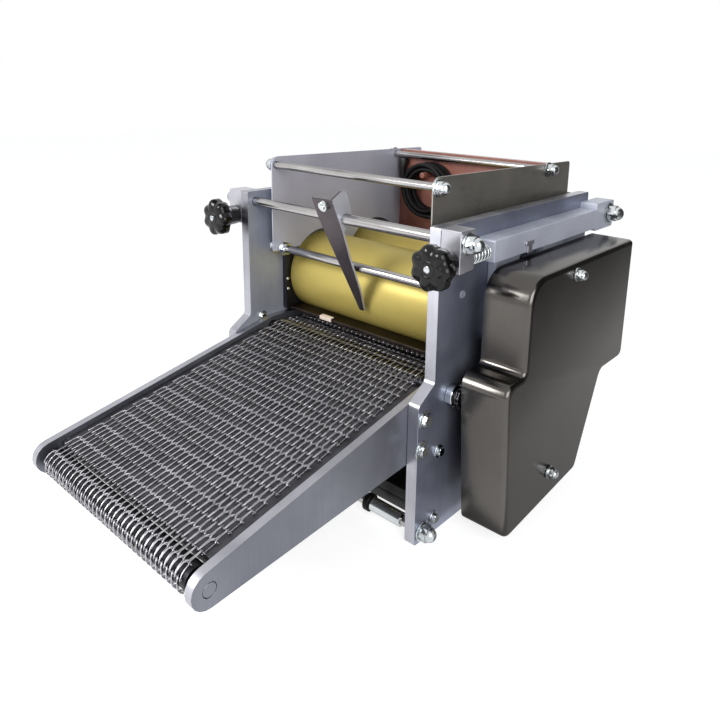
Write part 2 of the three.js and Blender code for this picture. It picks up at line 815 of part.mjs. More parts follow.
place('conveyor_chain', chainLoop([
  [driveY, driveZ, pitchCircle(driveSprocketTeeth, beltPitch)],
  [motorY, motorZ, pitchCircle(motorBeltTeeth, beltPitch)],
], beltChainHalfHeight, beltChainHalfWidth, beltChainX), 'gearSteel');

// Gearmotor: square gear head on the right plate, finned motor behind it, output shaft
const gearboxInner = halfInner - seat - gearboxLength;
const halfSide = gearboxSide / 2;
place('gear_head', cut(
  alongX(outline([
    [motorY - halfSide, motorZ - halfSide, 8],
    [motorY + halfSide, motorZ - halfSide, 8],
    [motorY + halfSide, motorZ + halfSide, 8],
    [motorY - halfSide, motorZ + halfSide, 8],
  ]), gearboxInner, gearboxInner + gearboxLength),
  rodX(gearboxInner + shaftSeatDepth, gearboxInner + gearboxLength + 1,
    motorShaftRadius + runningFit, motorY, motorZ)), 'motorPaint');

function motorProfile() {
  const end = gearboxInner - seat;
  const start = end - motorLength;
  const profile = [[start, motorRadius - 8], [start + 3, motorRadius]];
  const finPitch = motorLength * 0.7 / motorFins;
  for (let i = 0; i < motorFins; i += 1) {
    const x = start + 22 + i * finPitch;
    profile.push([x, motorRadius], [x, motorRadius - 4]);
    profile.push([x + finPitch / 2, motorRadius - 4], [x + finPitch / 2, motorRadius]);
  }
  profile.push([end, motorRadius]);
  return profile;
}
place('motor', turnedX(motorProfile(), motorY, motorZ, 20), 'motorPaint');

place('motor_output', join(
  rodX(gearboxInner + shaftSeatDepth + seat, mainChainX + mainChainHalfWidth + 2,
    motorShaftRadius, motorY, motorZ),
  sprocket(motorSprocketTeeth, mainPitch, mainChainHalfHeight, 5)
    .translate([mainChainX, motorY, motorZ]),
  sprocket(motorBeltTeeth, beltPitch, beltChainHalfHeight, 3)
    .translate([beltChainX, motorY, motorZ])), 'gearSteel');

// Conveyor drive shaft: knurled roll, collar outside the right plate, sprocket and end bolt
const driveCollarEnd = beltChainX - beltChainHalfWidth - seat;
const driveHubRadius = 5.5;
place('conveyor_drive_shaft', join(
  rodX(-plateOuter - 2, driveCollarEnd, driveRadius, driveY, driveZ, 24),
  rodX(driveCollarEnd - 1, beltChainX + 2, driveHubRadius, driveY, driveZ, 14),
  sprocket(driveSprocketTeeth, beltPitch, beltChainHalfHeight, 3)
    .translate([beltChainX, driveY, driveZ]),
  turnedX([[beltChainX + 1, 6.5], [beltChainX + 7, 6.5]], driveY, driveZ, 6)), 'zincSteel');

function idleRoller(y, z, radius, pinRadius) {
  return turnedX([
    [-railOuter + 1, pinRadius],
    [-beltHalfWidth, pinRadius],
    [-beltHalfWidth, radius],
    [beltHalfWidth, radius],
    [beltHalfWidth, pinRadius],
    [railOuter - 1, pinRadius],
  ], y, z, 24);
}
place('tail_roller', idleRoller(tailY, tailZ, tailRollerRadius, tailPinRadius), 'zincSteel');
place('nose_roller', idleRoller(noseY, noseZ, noseRollerRadius, nosePinRadius), 'zincSteel');

// Top run of the belt: the line that touches the nose roller and the drive roll from above
const runLength = Math.hypot(driveY - noseY, driveZ - noseZ);
const runHeading = Math.atan2(driveZ - noseZ, driveY - noseY);
const runTilt = runHeading + Math.asin((driveRadius - noseRollerRadius) / runLength);
const runAlong = new THREE.Vector3(0, Math.cos(runTilt), Math.sin(runTilt));
const runUp = new THREE.Vector3(0, -Math.sin(runTilt), Math.cos(runTilt));
const runAcross = new THREE.Vector3(1, 0, 0);
const runFrame = new THREE.Matrix4().makeBasis(runAcross, runAlong, runUp);
runFrame.setPosition(new THREE.Vector3(0, noseY, noseZ).addScaledVector(runUp, noseRollerRadius));

// Rails: top edge a lip above the belt's top run, round nose, open between the plates
function railOutline() {
  const tip = noseRollerRadius + beltThickness + railLip;
  const lowDistance = Math.hypot(-toeReach - noseY, railBottomAtPlate - noseZ);
  const lowHeading = Math.atan2(railBottomAtPlate - noseZ, -toeReach - noseY);
  const lowAngle = lowHeading - Math.acos(tip / lowDistance);
  const shape = new THREE.Shape();
  const topReach = driveRadius + beltThickness + railLip;
  shape.moveTo(-toeReach, railBottomAtPlate);
  shape.lineTo(railRearY, railBottomAtPlate + 18);
  shape.lineTo(railRearY, railRearTop);
  shape.lineTo(driveY, railRearTop);
  shape.lineTo(driveY + runUp.y * topReach, driveZ + runUp.z * topReach);
  addArc(shape, noseY, noseZ, tip, runTilt + Math.PI / 2, lowAngle + 2 * Math.PI);
  shape.closePath();
  return shape;
}

for (const [label, side] of sides) {
  const shape = railOutline();
  shape.holes.push(
    roundHole(noseY, noseZ, nosePinRadius + runningFit),
    roundHole(tailY, tailZ, tailPinRadius + runningFit),
    roundHole(driveY, driveZ, driveRadius + runningFit));
  place(`conveyor_rail_${label}`, mirrored(alongX(shape, railInner, railOuter), side),
    'brushedAluminium');
}

// Belt: one endless woven mesh, closed round nose roller, tail roller and drive roll
const beltCircles = [
  [noseY, noseZ, noseRollerRadius],
  [tailY, tailZ, tailRollerRadius],
  [driveY, driveZ, driveRadius],
];

function beltSolid() {
  const shape = wrapPath(beltCircles, beltThickness, new THREE.Shape());
  shape.holes.push(wrapPath(beltCircles, seat, new THREE.Path()));
  const band = alongX(shape, -beltHalfWidth, beltHalfWidth);
  const rowPitch = (runLength - 8) / beltRows;
  const slotPitch = 2 * (beltHalfWidth - 4) / beltSlots;
  const gaps = [];
  for (let row = 0; row < beltRows; row += 1) {
    for (let slot = 0; slot < beltSlots; slot += 1) {
      const gap = new THREE.BoxGeometry(slotPitch * 0.62, rowPitch * 0.66, 3 * beltThickness);
      const shift = (row % 2 === 0 ? 0.25 : -0.25) * slotPitch * 0.3;
      gap.translate(
        (slot + 0.5 - beltSlots / 2) * slotPitch + shift,
        8 + (row + 0.5) * rowPitch - 4,
        beltThickness / 2);
      gaps.push(gap);
    }
  }
  const pattern = mergeGeometries(gaps).applyMatrix4(runFrame);
  return cut(band, toSolid(pattern));
}
place('mesh_belt', beltSolid(), 'wireSteel');

// Belt bed: a flat slide sheet under the top run, between the rails
function bedSolid() {
  const halfWidth = railInner - seat;
  const start = 20;
  const end = runLength - 22;
  const shape = outline([
    [-halfWidth, start, bedCorner],
    [halfWidth, start, bedCorner],
    [halfWidth, end, bedCorner],
    [-halfWidth, end, bedCorner],
  ]);
  const geometry = new THREE.ExtrudeGeometry(shape, { depth: bedThickness, bevelEnabled: false });
  geometry.translate(0, 0, -bedThickness - seat).applyMatrix4(runFrame);
  return toSolid(geometry);
}
place('belt_bed', bedSolid(), 'hopperStainless');

// Hopper: two side sheets scalloped over the rollers, and a back panel with a peg
function hopperSide() {
  const shape = outline([
    [hopperFront, hopperBottom, 2],
    [frontAxisY - 17, hopperBottom, 0],
    [frontAxisY + 23, hopperCusp, 0],
    [rearAxisY - 23, hopperCusp, 0],
    [rearAxisY + 17, hopperBottom, 0],
    [hopperBack, hopperBottom, 2],
    [hopperBack, hopperTopBack, 4],
    [hopperFront, hopperTopFront, 11],
  ]);
  shape.holes.push(
    roundHole(hopperFrontRodY, hopperFrontRodZ, lightRodDiameter / 2 + seat),
    roundHole(hopperRearRodY, hopperRearRodZ, lightRodDiameter / 2 + seat));
  const flange = block(
    [hopperHalfWidth + 0.5, hopperBack - sheet, hopperBottom + 4],
    [halfInner - seat, hopperBack, plateHeight - 4]);
  const scallop = drumRadius + scallopClearance;
  return cut(join(alongX(shape, hopperHalfWidth, hopperOuter), flange),
    rodX(hopperHalfWidth - 1, hopperOuter + 1, lightRodDiameter / 2 + 2 * seat, guardRodY, guardRodZ),
    rodX(hopperHalfWidth - 1, hopperOuter + 1, scallop, frontAxisY, rollerAxisZ, 48),
    rodX(hopperHalfWidth - 1, hopperOuter + 1, scallop, rearAxisY, rollerAxisZ, 48));
}
for (const [label, side] of sides) {
  place(`hopper_side_${label}`, mirrored(hopperSide(), side), 'hopperStainless');
}

const cordRadius = cordDiameter / 2;
const coilBackY = hopperPanelY - 0.5 - cordRadius;
const pegRadius = 5;
const pegZ = coilZ + coilInnerRadius - cordRadius - pegRadius - seat;
const pegLength = coilLayers * coilLayerStep + 3;
const glandStubRadius = 6;
place('hopper_back', cut(
  join(
    block([-hopperHalfWidth + seat, hopperPanelY, hopperPanelBottom],
      [hopperHalfWidth - seat, hopperPanelY + sheet, hopperTopBack]),
    block([-hopperHalfWidth + seat, hopperPanelY, hopperTopBack - sheet],
      [hopperHalfWidth - seat, hopperPanelY + 12, hopperTopBack]),
    turnedY([
      [hopperPanelY - pegLength, pegRadius - 1],
      [hopperPanelY - pegLength + 1, pegRadius],
      [hopperPanelY + 1, pegRadius],
    ], coilX, pegZ, 16)),
  rodY(hopperPanelY - 1, hopperPanelY + sheet + 1, glandStubRadius + seat, glandX, glandZ)),
'hopperStainless');

// Chain guard: folded box, open towards the plate, on two studs
const upperStudHole = studDiameter / 2 + seat;
function guardSolid() {
  const outer = alongX(outline(guardOutline), guardInner, guardOuter);
  const inner = alongX(outline(guardOutline, guardSheet), guardInner - 1, guardOuter - guardSheet);
  return cut(outer, inner,
    rodX(guardOuter - 5, guardOuter + 1, upperStudHole, upperStud.y, upperStud.z, 12),
    rodX(guardOuter - 5, guardOuter + 1, upperStudHole, lowerStud.y, lowerStud.z, 12));
}
place('chain_guard', guardSolid(), 'polishedStainless');

function guardStud({ y, z }) {
  return join(
    rodX(plateOuter - 10, guardOuter + 4, studDiameter / 2, y, z, 10),
    turnedX([[plateOuter + seat, 7.5], [plateOuter + 7, 7.5]], y, z, 6),
    rodX(guardOuter - guardSheet - 3, guardOuter - guardSheet - seat, 7.5, y, z, 12),
    capNut(guardOuter + seat, y, z, studDiameter, 1));
}
place('guard_stud_upper', guardStud(upperStud), 'zincSteel');
place('guard_stud_lower', guardStud(lowerStud), 'zincSteel');

// Cutter drum: two ring blades a row on a nylon core, turned by the front roller
function cutterProfile() {
  const half = drumHalfLength - 1;
  const rings = [-110, -10, 10, 110];
  const profile = [[-halfInner - 8, cutterPinRadius], [-half, cutterPinRadius], [-half, cutterRadius - 5]];
  for (const x of rings) {
    profile.push([x - 2.5, cutterRadius - 5], [x, cutterRadius], [x + 2.5, cutterRadius - 5]);
  }
  profile.push([half, cutterRadius - 5], [half, cutterPinRadius], [halfInner + 8, cutterPinRadius]);
  return profile;
}
place('cutter_drum', turnedX(cutterProfile(), cutterY, cutterZ, 24), 'cutterNylon');

// Scraper bar: a wedge between the front bearing blocks, its edge just off the drum
const scraperEdgeY = frontAxisY
  - Math.sqrt((drumRadius + cutterGap) ** 2 - (rollerAxisZ - scraperZ) ** 2);
const scraperHalf = bearingBlockInner - seat;
place('scraper_bar', alongX(outline([
  [scraperFront, scraperZ - scraperThickness, 1],
  [scraperEdgeY - 6, scraperZ - scraperThickness, 0],
  [scraperEdgeY, scraperZ, 0],
  [scraperFront, scraperZ, 1],
]), -scraperHalf, scraperHalf), 'bladeSteel');

// Dough divider: a tapered blade between two flanges that hang on the blade rod
function dividerSolid() {
  const bore = heavyRodDiameter / 2 + runningFit;
  const tipY = frontAxisY - Math.sqrt(drumRadius ** 2 - (rollerAxisZ - dividerTipZ) ** 2)
    - nipTravel - dividerTipGap;
  const rootY = bladeRodY - bore - dividerSheet;
  const rootZ = bladeRodZ + 2;
  const length = Math.hypot(tipY - rootY, dividerTipZ - rootZ);
  const lean = Math.atan2(tipY - rootY, rootZ - dividerTipZ);
  const half = dividerWidth / 2;
  const tipLeft = dividerTipX - dividerX - dividerTipWidth / 2;
  const blade = new THREE.ExtrudeGeometry(outline([
    [tipLeft + dividerTipWidth, -length, 1.2],
    [half * 0.75, -length * 0.74, 12],
    [half * 0.79, -length * 0.41, 20],
    [half, -length * 0.12, 6],
    [half, dividerTopReach, 1],
    [-half, dividerTopReach, 1],
    [-half, -length * 0.03, 6],
    [tipLeft, -length, 1.2],
  ]), { depth: dividerSheet, bevelEnabled: false });
  blade.rotateX(Math.PI / 2 + lean).translate(dividerX, rootY, rootZ);
  const alongBlade = (z) => rootY - Math.tan(lean) * (z - rootZ);
  const top = bladeRodZ + 27;
  const bottom = bladeRodZ - 16;
  const flange = (x, crown) => alongX(outline([
    [alongBlade(bottom) - 1, bottom, 1],
    [bladeRodY + 10, bladeRodZ - 8, 5],
    [bladeRodY + 12, bladeRodZ + 6, 5],
    ...crown,
    [alongBlade(top) - 2, top, 0.6],
  ]), x, x + dividerSheet);
  const tall = [
    [bladeRodY + 4.5, bladeRodZ + 29, 4],
    [bladeRodY, bladeRodZ + 35.5, 4],
    [bladeRodY - 7, bladeRodZ + 36, 3],
  ];
  const low = [
    [bladeRodY + 5, bladeRodZ + 19, 5],
    [bladeRodY - 10, bladeRodZ + 24, 3],
  ];
  const body = join(toSolid(blade),
    flange(dividerX - half, low), flange(dividerX + half - dividerSheet, tall));
  return cut(body,
    rodX(dividerX - half - 1, dividerX + half + 1, bore, bladeRodY, bladeRodZ));
}
place('divider_blade', dividerSolid(), 'bladeSteel');

// Rear panel with the rocker switch, folded forward at the foot into a bottom pan
const panelHalf = halfInner - seat;
place('rear_panel', cut(
  join(
    block([-panelHalf, rearPanelY, rearPanelBottom], [panelHalf, rearPanelY + sheet, rearPanelTop]),
    block([-panelHalf, rearPanelY - rearPanelFlange, rearPanelTop - sheet],
      [panelHalf, rearPanelY + sheet, rearPanelTop]),
    block([-panelHalf, bottomPanFront, rearPanelBottom],
      [panelHalf, rearPanelY + sheet, rearPanelBottom + sheet]),
    block([-panelHalf, bottomPanFront, rearPanelBottom],
      [panelHalf, bottomPanFront + sheet, rearPanelBottom + bottomPanLip])),
  block([switchX - switchWidth / 2, rearPanelY - 1, switchZ - switchHeight / 2],
    [switchX + switchWidth / 2, rearPanelY + sheet + 1, switchZ + switchHeight / 2])),
'hopperStainless');

const rockerHalf = switchWidth / 2 - seat;
const rockerTilt = THREE.MathUtils.degToRad(8);
place('switch_rocker', alongX(outline([
  [rearPanelY - 3, switchZ - 6, 2],
  [rearPanelY + 5 - Math.sin(rockerTilt) * 8, switchZ - switchHeight / 2 + 1.6, 1],
  [rearPanelY + 3.5, switchZ, 0],
  [rearPanelY + 5, switchZ + switchHeight / 2 - 1.6, 1],
  [rearPanelY - 3, switchZ + 6, 2],
]), switchX - rockerHalf, switchX + rockerHalf), 'blackPlastic');

// Mains lead: elbow gland on the hopper back, lead, hanging coil, tail and plug
const glandAxisY = hopperPanelY - seat - glandStubRadius - 1.5;
const reliefTop = glandZ - 8;
const reliefTip = reliefTop - glandReliefLength;
place('cord_gland', join(
  rodY(glandAxisY, hopperPanelY + sheet + 8, glandStubRadius, glandX, glandZ, 16),
  turnedY([[hopperPanelY + sheet + seat, 9], [hopperPanelY + sheet + 5, 9]], glandX, glandZ, 6),
  turnedZ([
    [reliefTip, cordRadius + 0.8],
    [reliefTop, glandStubRadius + 0.8],
    [glandZ + 5, glandStubRadius + 0.8],
    [glandZ + 7.5, glandStubRadius - 2],
  ], glandX, glandAxisY, 16)), 'blackPlastic');

const coilTurns = coilLayers * coilTurnsPerLayer;
const coilStepsPerTurn = 24;

// Radius runs in and out between its limits once every two layers; a layer is climbed
// in the half turn round each reversal
function coilPoint(turn) {
  const phase = turn / coilTurnsPerLayer;
  const whole = Math.floor(phase);
  const part = phase - whole;
  const inwards = whole % 2 === 0 ? part : 1 - part;
  const radius = THREE.MathUtils.lerp(coilOuterRadius, coilInnerRadius, inwards);
  let layer = 0;
  for (let k = 1; k < coilLayers; k += 1) {
    const climb = (turn - k * coilTurnsPerLayer + 0.25) / 0.5;
    layer += THREE.MathUtils.clamp(climb, 0, 1);
  }
  const angle = 2 * Math.PI * turn - Math.PI / 2;
  return new THREE.Vector3(
    coilX + radius * Math.cos(angle), coilBackY - layer * coilLayerStep, coilZ + radius * Math.sin(angle));
}

const coilPoints = [];
for (let i = 0; i <= coilTurns * coilStepsPerTurn; i += 1) {
  coilPoints.push(coilPoint(i / coilStepsPerTurn));
}
const coilStart = coilPoints[0].clone().add(new THREE.Vector3(-cordDiameter, 0, 0));
const coilEnd = coilPoints.at(-1).clone().add(new THREE.Vector3(cordDiameter, 0, 0));
coilPoints.unshift(coilStart);
coilPoints.push(coilEnd);
console.log(`cord coil least gap ${leastGap(coilPoints, cordDiameter, coilStepsPerTurn).toFixed(2)} mm`);
place('cord_coil', toSolid(tubeGeometry(coilPoints, cordRadius, 6)), 'blackPlastic');

// Free stretches: each route starts and ends with a straight piece
const plugY = coilBackY - 8.2;
const plugZ = coilZ - 67;
const leadRoute = [
  [glandX, glandAxisY, reliefTip - seat],
  [glandX, glandAxisY, reliefTip - 8],
  [glandX + 0.4, coilBackY - 2.6, coilZ - 10],
  [glandX + 2.8, coilBackY - 1.2, coilZ - 19],
  [glandX + 7.6, coilBackY - 0.3, coilZ - 28],
  [glandX + 14.5, coilBackY, coilZ - 35.4],
  [glandX + 23.5, coilBackY, coilZ - 40.6],
  [glandX + 33, coilBackY, coilZ - 43.1],
  [coilStart.x - 9, coilStart.y, coilStart.z],
  [coilStart.x - seat, coilStart.y, coilStart.z],
];
const tailRoute = [
  [coilEnd.x + seat, coilEnd.y, coilEnd.z],
  [coilEnd.x + 6, coilEnd.y, coilEnd.z],
  [coilX + 21, coilBackY - 21.4, coilZ - 45.2],
  [coilX + 29, coilBackY - 18.6, coilZ - 48.8],
  [coilX + 37, coilBackY - 15, coilZ - 54.4],
  [coilX + 44, coilBackY - 11.6, coilZ - 60.4],
  [plugStart - 8, plugY, plugZ],
  [plugStart - seat, plugY, plugZ],
];

function routeTube(route) {
  const points = route.map((point) => new THREE.Vector3(...point));
  const [first, last] = [points.shift(), points.pop()];
  const curve = new THREE.CatmullRomCurve3(points);
  const steps = Math.max(8, Math.round(curve.getLength() / (2.2 * cordDiameter)));
  return toSolid(tubeGeometry([first, ...curve.getSpacedPoints(steps), last], cordRadius, 8));
}
place('cord_lead', routeTube(leadRoute), 'blackPlastic');
place('cord_tail', routeTube(tailRoute), 'blackPlastic');

place('power_plug', join(
  turnedX([
    [plugStart, 5],
    [plugStart + 12, 8.5],
    [plugStart + 18, plugRadius],
    [plugStart + plugLength - 1, plugRadius],
    [plugStart + plugLength, plugRadius - 1],
  ], plugY, plugZ, 20),
  block([plugStart + plugLength - 1, plugY - 3.2, plugZ + 5.6],
    [plugStart + plugLength + 18, plugY + 3.2, plugZ + 7.1]),
  block([plugStart + plugLength - 1, plugY - 3.2, plugZ - 7.1],
    [plugStart + plugLength + 18, plugY + 3.2, plugZ - 5.6])), 'blackPlastic');

// Origin: middle of the base, seen from above
const bounds = new THREE.Box3().setFromObject(machine);
const middle = bounds.getCenter(new THREE.Vector3());
machine.position.set(-middle.x, -middle.y, -bounds.min.z);

export default machine;
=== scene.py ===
"""Looks of a motor driven table-top tortilla machine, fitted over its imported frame."""
import math

import bmesh
import bpy
import numpy as np
from mathutils import Matrix, Vector


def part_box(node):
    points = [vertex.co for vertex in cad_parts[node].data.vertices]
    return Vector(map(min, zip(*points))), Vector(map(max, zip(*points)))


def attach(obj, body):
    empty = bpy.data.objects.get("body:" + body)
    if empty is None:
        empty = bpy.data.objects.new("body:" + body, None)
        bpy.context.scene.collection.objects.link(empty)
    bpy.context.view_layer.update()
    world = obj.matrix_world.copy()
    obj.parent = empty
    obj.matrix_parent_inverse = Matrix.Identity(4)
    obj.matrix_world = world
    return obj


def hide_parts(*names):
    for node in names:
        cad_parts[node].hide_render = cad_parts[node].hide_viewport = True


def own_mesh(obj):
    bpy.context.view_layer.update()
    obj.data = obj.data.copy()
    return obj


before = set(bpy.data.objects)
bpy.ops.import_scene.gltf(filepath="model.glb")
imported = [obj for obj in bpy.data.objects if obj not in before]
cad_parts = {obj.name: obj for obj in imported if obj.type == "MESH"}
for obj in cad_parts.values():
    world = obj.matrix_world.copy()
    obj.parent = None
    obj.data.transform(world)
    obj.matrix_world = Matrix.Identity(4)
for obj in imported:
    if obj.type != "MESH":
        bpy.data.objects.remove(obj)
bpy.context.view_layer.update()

# Camera
# The photograph's viewpoint, solved from the edges of the side plates, rods and rails.
# Drawing millimetres: X from the middle between the plates, Y from their upper front edge, Z up.
plate_inner, plate_outer, plate_toe = 160.0, 175.0, -29.0
plate_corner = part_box("side_plate_right")[0]
drawing_origin = np.array([plate_corner[0] - plate_inner / 1000, plate_corner[1] - plate_toe / 1000, 0.0])


def at(points):
    """Drawing millimetres to row metres: a thousandth of each point, moved by the drawing's origin."""
    return np.asarray(points, float) / 1000.0 + drawing_origin


yaw, pitch, roll = np.radians([41.07, -13.26, 1.06])
sight = np.array([-math.sin(yaw) * math.cos(pitch), math.cos(yaw) * math.cos(pitch), math.sin(pitch)])
side = np.cross(sight, [0, 0, 1])
side /= np.linalg.norm(side)
over = np.cross(side, sight)
right = math.cos(roll) * side + math.sin(roll) * over
up = -math.sin(roll) * side + math.cos(roll) * over

photo_size, focal_pixels, centre_x, centre_y, sensor_width = 720, 666.57, 378.96, 240.74, 36.0
camera_data = bpy.data.cameras.new("photo_camera")
camera = bpy.data.objects.new("photo_camera", camera_data)
bpy.context.scene.collection.objects.link(camera)
camera_data.sensor_width = sensor_width
camera_data.lens = focal_pixels / photo_size * sensor_width
camera_data.shift_x = (photo_size / 2 - centre_x) / photo_size
camera_data.shift_y = (centre_y - photo_size / 2) / photo_size
camera_data.clip_start = 0.01
pose = np.identity(4)
pose[:3] = np.column_stack([right, up, -sight, at([587.53, -575.36, 531.05])])
camera.matrix_world = Matrix(pose.tolist())
bpy.context.scene.camera = camera

# Mains lead
# A 7 mm black rubber sheathed lead: out of the elbow gland on the hopper's back, down the sheet,
# round a hanging coil of six turns, and on to its plug.


def linear(code):
    """sRGB hex to linear colour: c / 12.92 up to 0.04045, else ((c + 0.055) / 1.055) to the power 2.4."""
    values = np.array([int(code[i:i + 2], 16) for i in (1, 3, 5)]) / 255
    return (*np.where(values <= 0.04045, values / 12.92, ((values + 0.055) / 1.055) ** 2.4), 1.0)


def add_node(tree, kind, inputs=None, **settings):
    """Adds one node, sets its attributes, and sets or links its input sockets."""
    made = tree.nodes.new(f"ShaderNode{kind}")
    for name, value in settings.items():
        setattr(made, name, value)
    for name, value in (inputs or {}).items():
        if isinstance(value, bpy.types.NodeSocket):
            tree.links.new(value, made.inputs[name])
        else:
            made.inputs[name].default_value = value
    return made


def new_finish(name, metallic=0.0, roughness=0.5, specular=0.5, ior=None, coat=0.0):
    """A material with its tree, its shader, and the piece's own coordinates in metres."""
    finish = bpy.data.materials.new(name)
    finish.use_nodes = True
    tree = finish.node_tree
    shader = tree.nodes["Principled BSDF"]
    for socket, value in (("Metallic", metallic), ("Roughness", roughness), ("Specular IOR Level", specular),
                          ("Coat Weight", coat), ("Coat Roughness", 0.05)):
        shader.inputs[socket].default_value = value
    if ior:
        shader.inputs["IOR"].default_value = ior
    place = add_node(tree, "TexCoord").outputs["Object"]
    return finish, tree, shader, place


def grain(tree, place, size, detail=3.0, distortion=0.0):
    """Noise whose grain is size millimetres along X, Y and Z."""
    scale = [1000.0 / s for s in np.broadcast_to(size, 3)]
    mapped = add_node(tree, "Mapping", {"Vector": place, "Scale": scale}).outputs["Vector"]
    return add_node(tree, "TexNoise", {
        "Vector": mapped, "Scale": 1.0, "Detail": detail, "Distortion": distortion}).outputs["Fac"]


def lay_pattern(tree, shader, pattern, dark, light, gloss=None, relief=None, span=(0.3, 0.7), height=None):
    """Across its span, a pattern blends two hex colours and the two roughnesses of gloss. relief is the
    strength and the millimetres of a bump, which follows height, or else the pattern too."""
    ramp = add_node(tree, "ValToRGB", {"Fac": pattern})
    for stop, value, colour in zip(ramp.color_ramp.elements, span, (dark, light)):
        stop.position, stop.color = value, linear(colour)
    tree.links.new(ramp.outputs["Color"], shader.inputs["Base Color"])
    if gloss:
        ranged = add_node(tree, "MapRange", {
            "Value": pattern, "From Min": span[0], "From Max": span[1],
            "To Min": gloss[0], "To Max": gloss[1]})
        tree.links.new(ranged.outputs["Result"], shader.inputs["Roughness"])
    if relief:
        raised = add_node(tree, "Bump", {
            "Height": pattern if height is None else height,
            "Strength": relief[0], "Distance": relief[1] / 1000})
        tree.links.new(raised.outputs["Normal"], shader.inputs["Normal"])
    return ramp.outputs["Color"]


def grained(name, size, dark, light, gloss=None, relief=None, detail=3.0, distortion=0.0, **numbers):
    """A finish whose colour, gloss and relief follow one grain of size millimetres."""
    finish, tree, shader, place = new_finish(name, **numbers)
    lay_pattern(tree, shader, grain(tree, place, size, detail, distortion), dark, light, gloss, relief)
    return finish


# Moulded rubber sheath: matt black, with a faint extruded grain and dust
cord_rubber = grained("moulded_cord_rubber", 3.0, "#070708", "#121214", (0.42, 0.6), (0.25, 0.15), 4.0,
                      specular=0.18)


def skin(grid, closed=False):
    """Faces of a grid of points: rows run along the piece, columns round it. The columns close on
    themselves; the rows close too if closed, and otherwise flat lids end them. Faces are turned
    outwards if the volume, a sum of corner times cross product of the next two, is below zero."""
    grid = np.asarray(grid, float)
    rows, columns = grid.shape[:2]
    index = np.arange(rows * columns).reshape(rows, columns)
    first = index if closed else index[:-1]
    second = np.roll(index, -1, axis=0) if closed else index[1:]
    quads = np.stack([first, np.roll(first, -1, axis=1), np.roll(second, -1, axis=1), second], axis=-1)
    groups = [quads.reshape(-1, 4)]
    if not closed:
        groups += [index[:1, ::-1], index[-1:]]
    points = grid.reshape(-1, 3)
    volume, faces = 0.0, []
    for group in groups:
        corners = points[group]
        volume += np.sum(np.cross(corners[:, 1:-1], corners[:, 2:]) * corners[:, :1])
        faces += group.tolist()
    if volume < 0:
        faces = [face[::-1] for face in faces]
    return points, faces


def fit(piece, body, slot, *nodes):
    """The piece rides on a body and stands for CAD nodes, which it hides; slot is not used."""
    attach(piece, body)
    if nodes:
        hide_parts(*nodes)
    return piece


def make(name, skins, finish, body, slot, *nodes, smooth=35.0):
    """One fitted piece of several skins given in drawing millimetres, smooth up to an edge angle."""
    points, faces, start = [], [], 0
    for skin_points, skin_faces in skins:
        points.append(skin_points)
        faces += [[corner + start for corner in face] for face in skin_faces]
        start += len(skin_points)
    mesh = bpy.data.meshes.new(name)
    mesh.from_pydata(at(np.concatenate(points)).tolist(), [], faces)
    mesh.validate()
    mesh.shade_smooth()
    mesh.set_sharp_from_angle(angle=math.radians(smooth))
    mesh.materials.append(finish)
    piece = bpy.data.objects.new(name, mesh)
    bpy.context.scene.collection.objects.link(piece)
    return fit(piece, body, slot, *nodes)


def sweep(path, radius, sides=12):
    """A round tube: each path point plus radius times (cos, sin) in a frame carried along the path."""
    path = np.asarray(path, float)
    tangent = np.gradient(path, axis=0)
    tangent[0], tangent[-1] = path[1] - path[0], path[-1] - path[-2]
    tangent /= np.linalg.norm(tangent, axis=1)[:, None]
    across = np.cross([0.31, 0.87, 0.38], tangent[0])
    frames = []
    for direction in tangent:
        across = across - direction * np.dot(across, direction)
        across = across / np.linalg.norm(across)
        frames.append((across, np.cross(direction, across)))
    frames = np.array(frames)
    angle = np.linspace(0, 2 * np.pi, sides, endpoint=False)
    ring = np.cos(angle)[None, :, None] * frames[:, 0:1] + np.sin(angle)[None, :, None] * frames[:, 1:2]
    return path[:, None] + radius * ring


def smooth_route(points, step):
    """Catmull-Rom curve through points, resampled every step millimetres."""
    points = np.asarray(points, float)
    padded = np.vstack([2 * points[0] - points[1], points, 2 * points[-1] - points[-2]])
    t = np.linspace(0, 1, 24, endpoint=False)[:, None]
    spans = []
    for a, b, c, d in zip(padded, padded[1:], padded[2:], padded[3:]):
        spans.append(0.5 * (2 * b + (c - a) * t + (2 * a - 5 * b + 4 * c - d) * t ** 2
                            + (3 * b - a - 3 * c + d) * t ** 3))
    fine = np.vstack(spans + [points[-1:]])
    run = np.concatenate([[0], np.cumsum(np.linalg.norm(np.diff(fine, axis=0), axis=1))])
    wanted = np.linspace(0, run[-1], max(2, int(round(run[-1] / step)) + 1))
    return np.stack([np.interp(wanted, run, fine[:, i]) for i in range(3)], axis=1)


cord_diameter = 7.0
coil_x, coil_z, coil_back_y = -68.0, 364.0, 308.0
coil_outer, coil_inner, coil_layers, layer_turns, layer_step = 43.7, 32.2, 4, 1.5, 7.5
gland_x, gland_y, gland_z, relief_tip = -127.0, 304.2, 403.0, 371.0
plug_start, plug_y, plug_z = -6.0, 299.8, 297.0

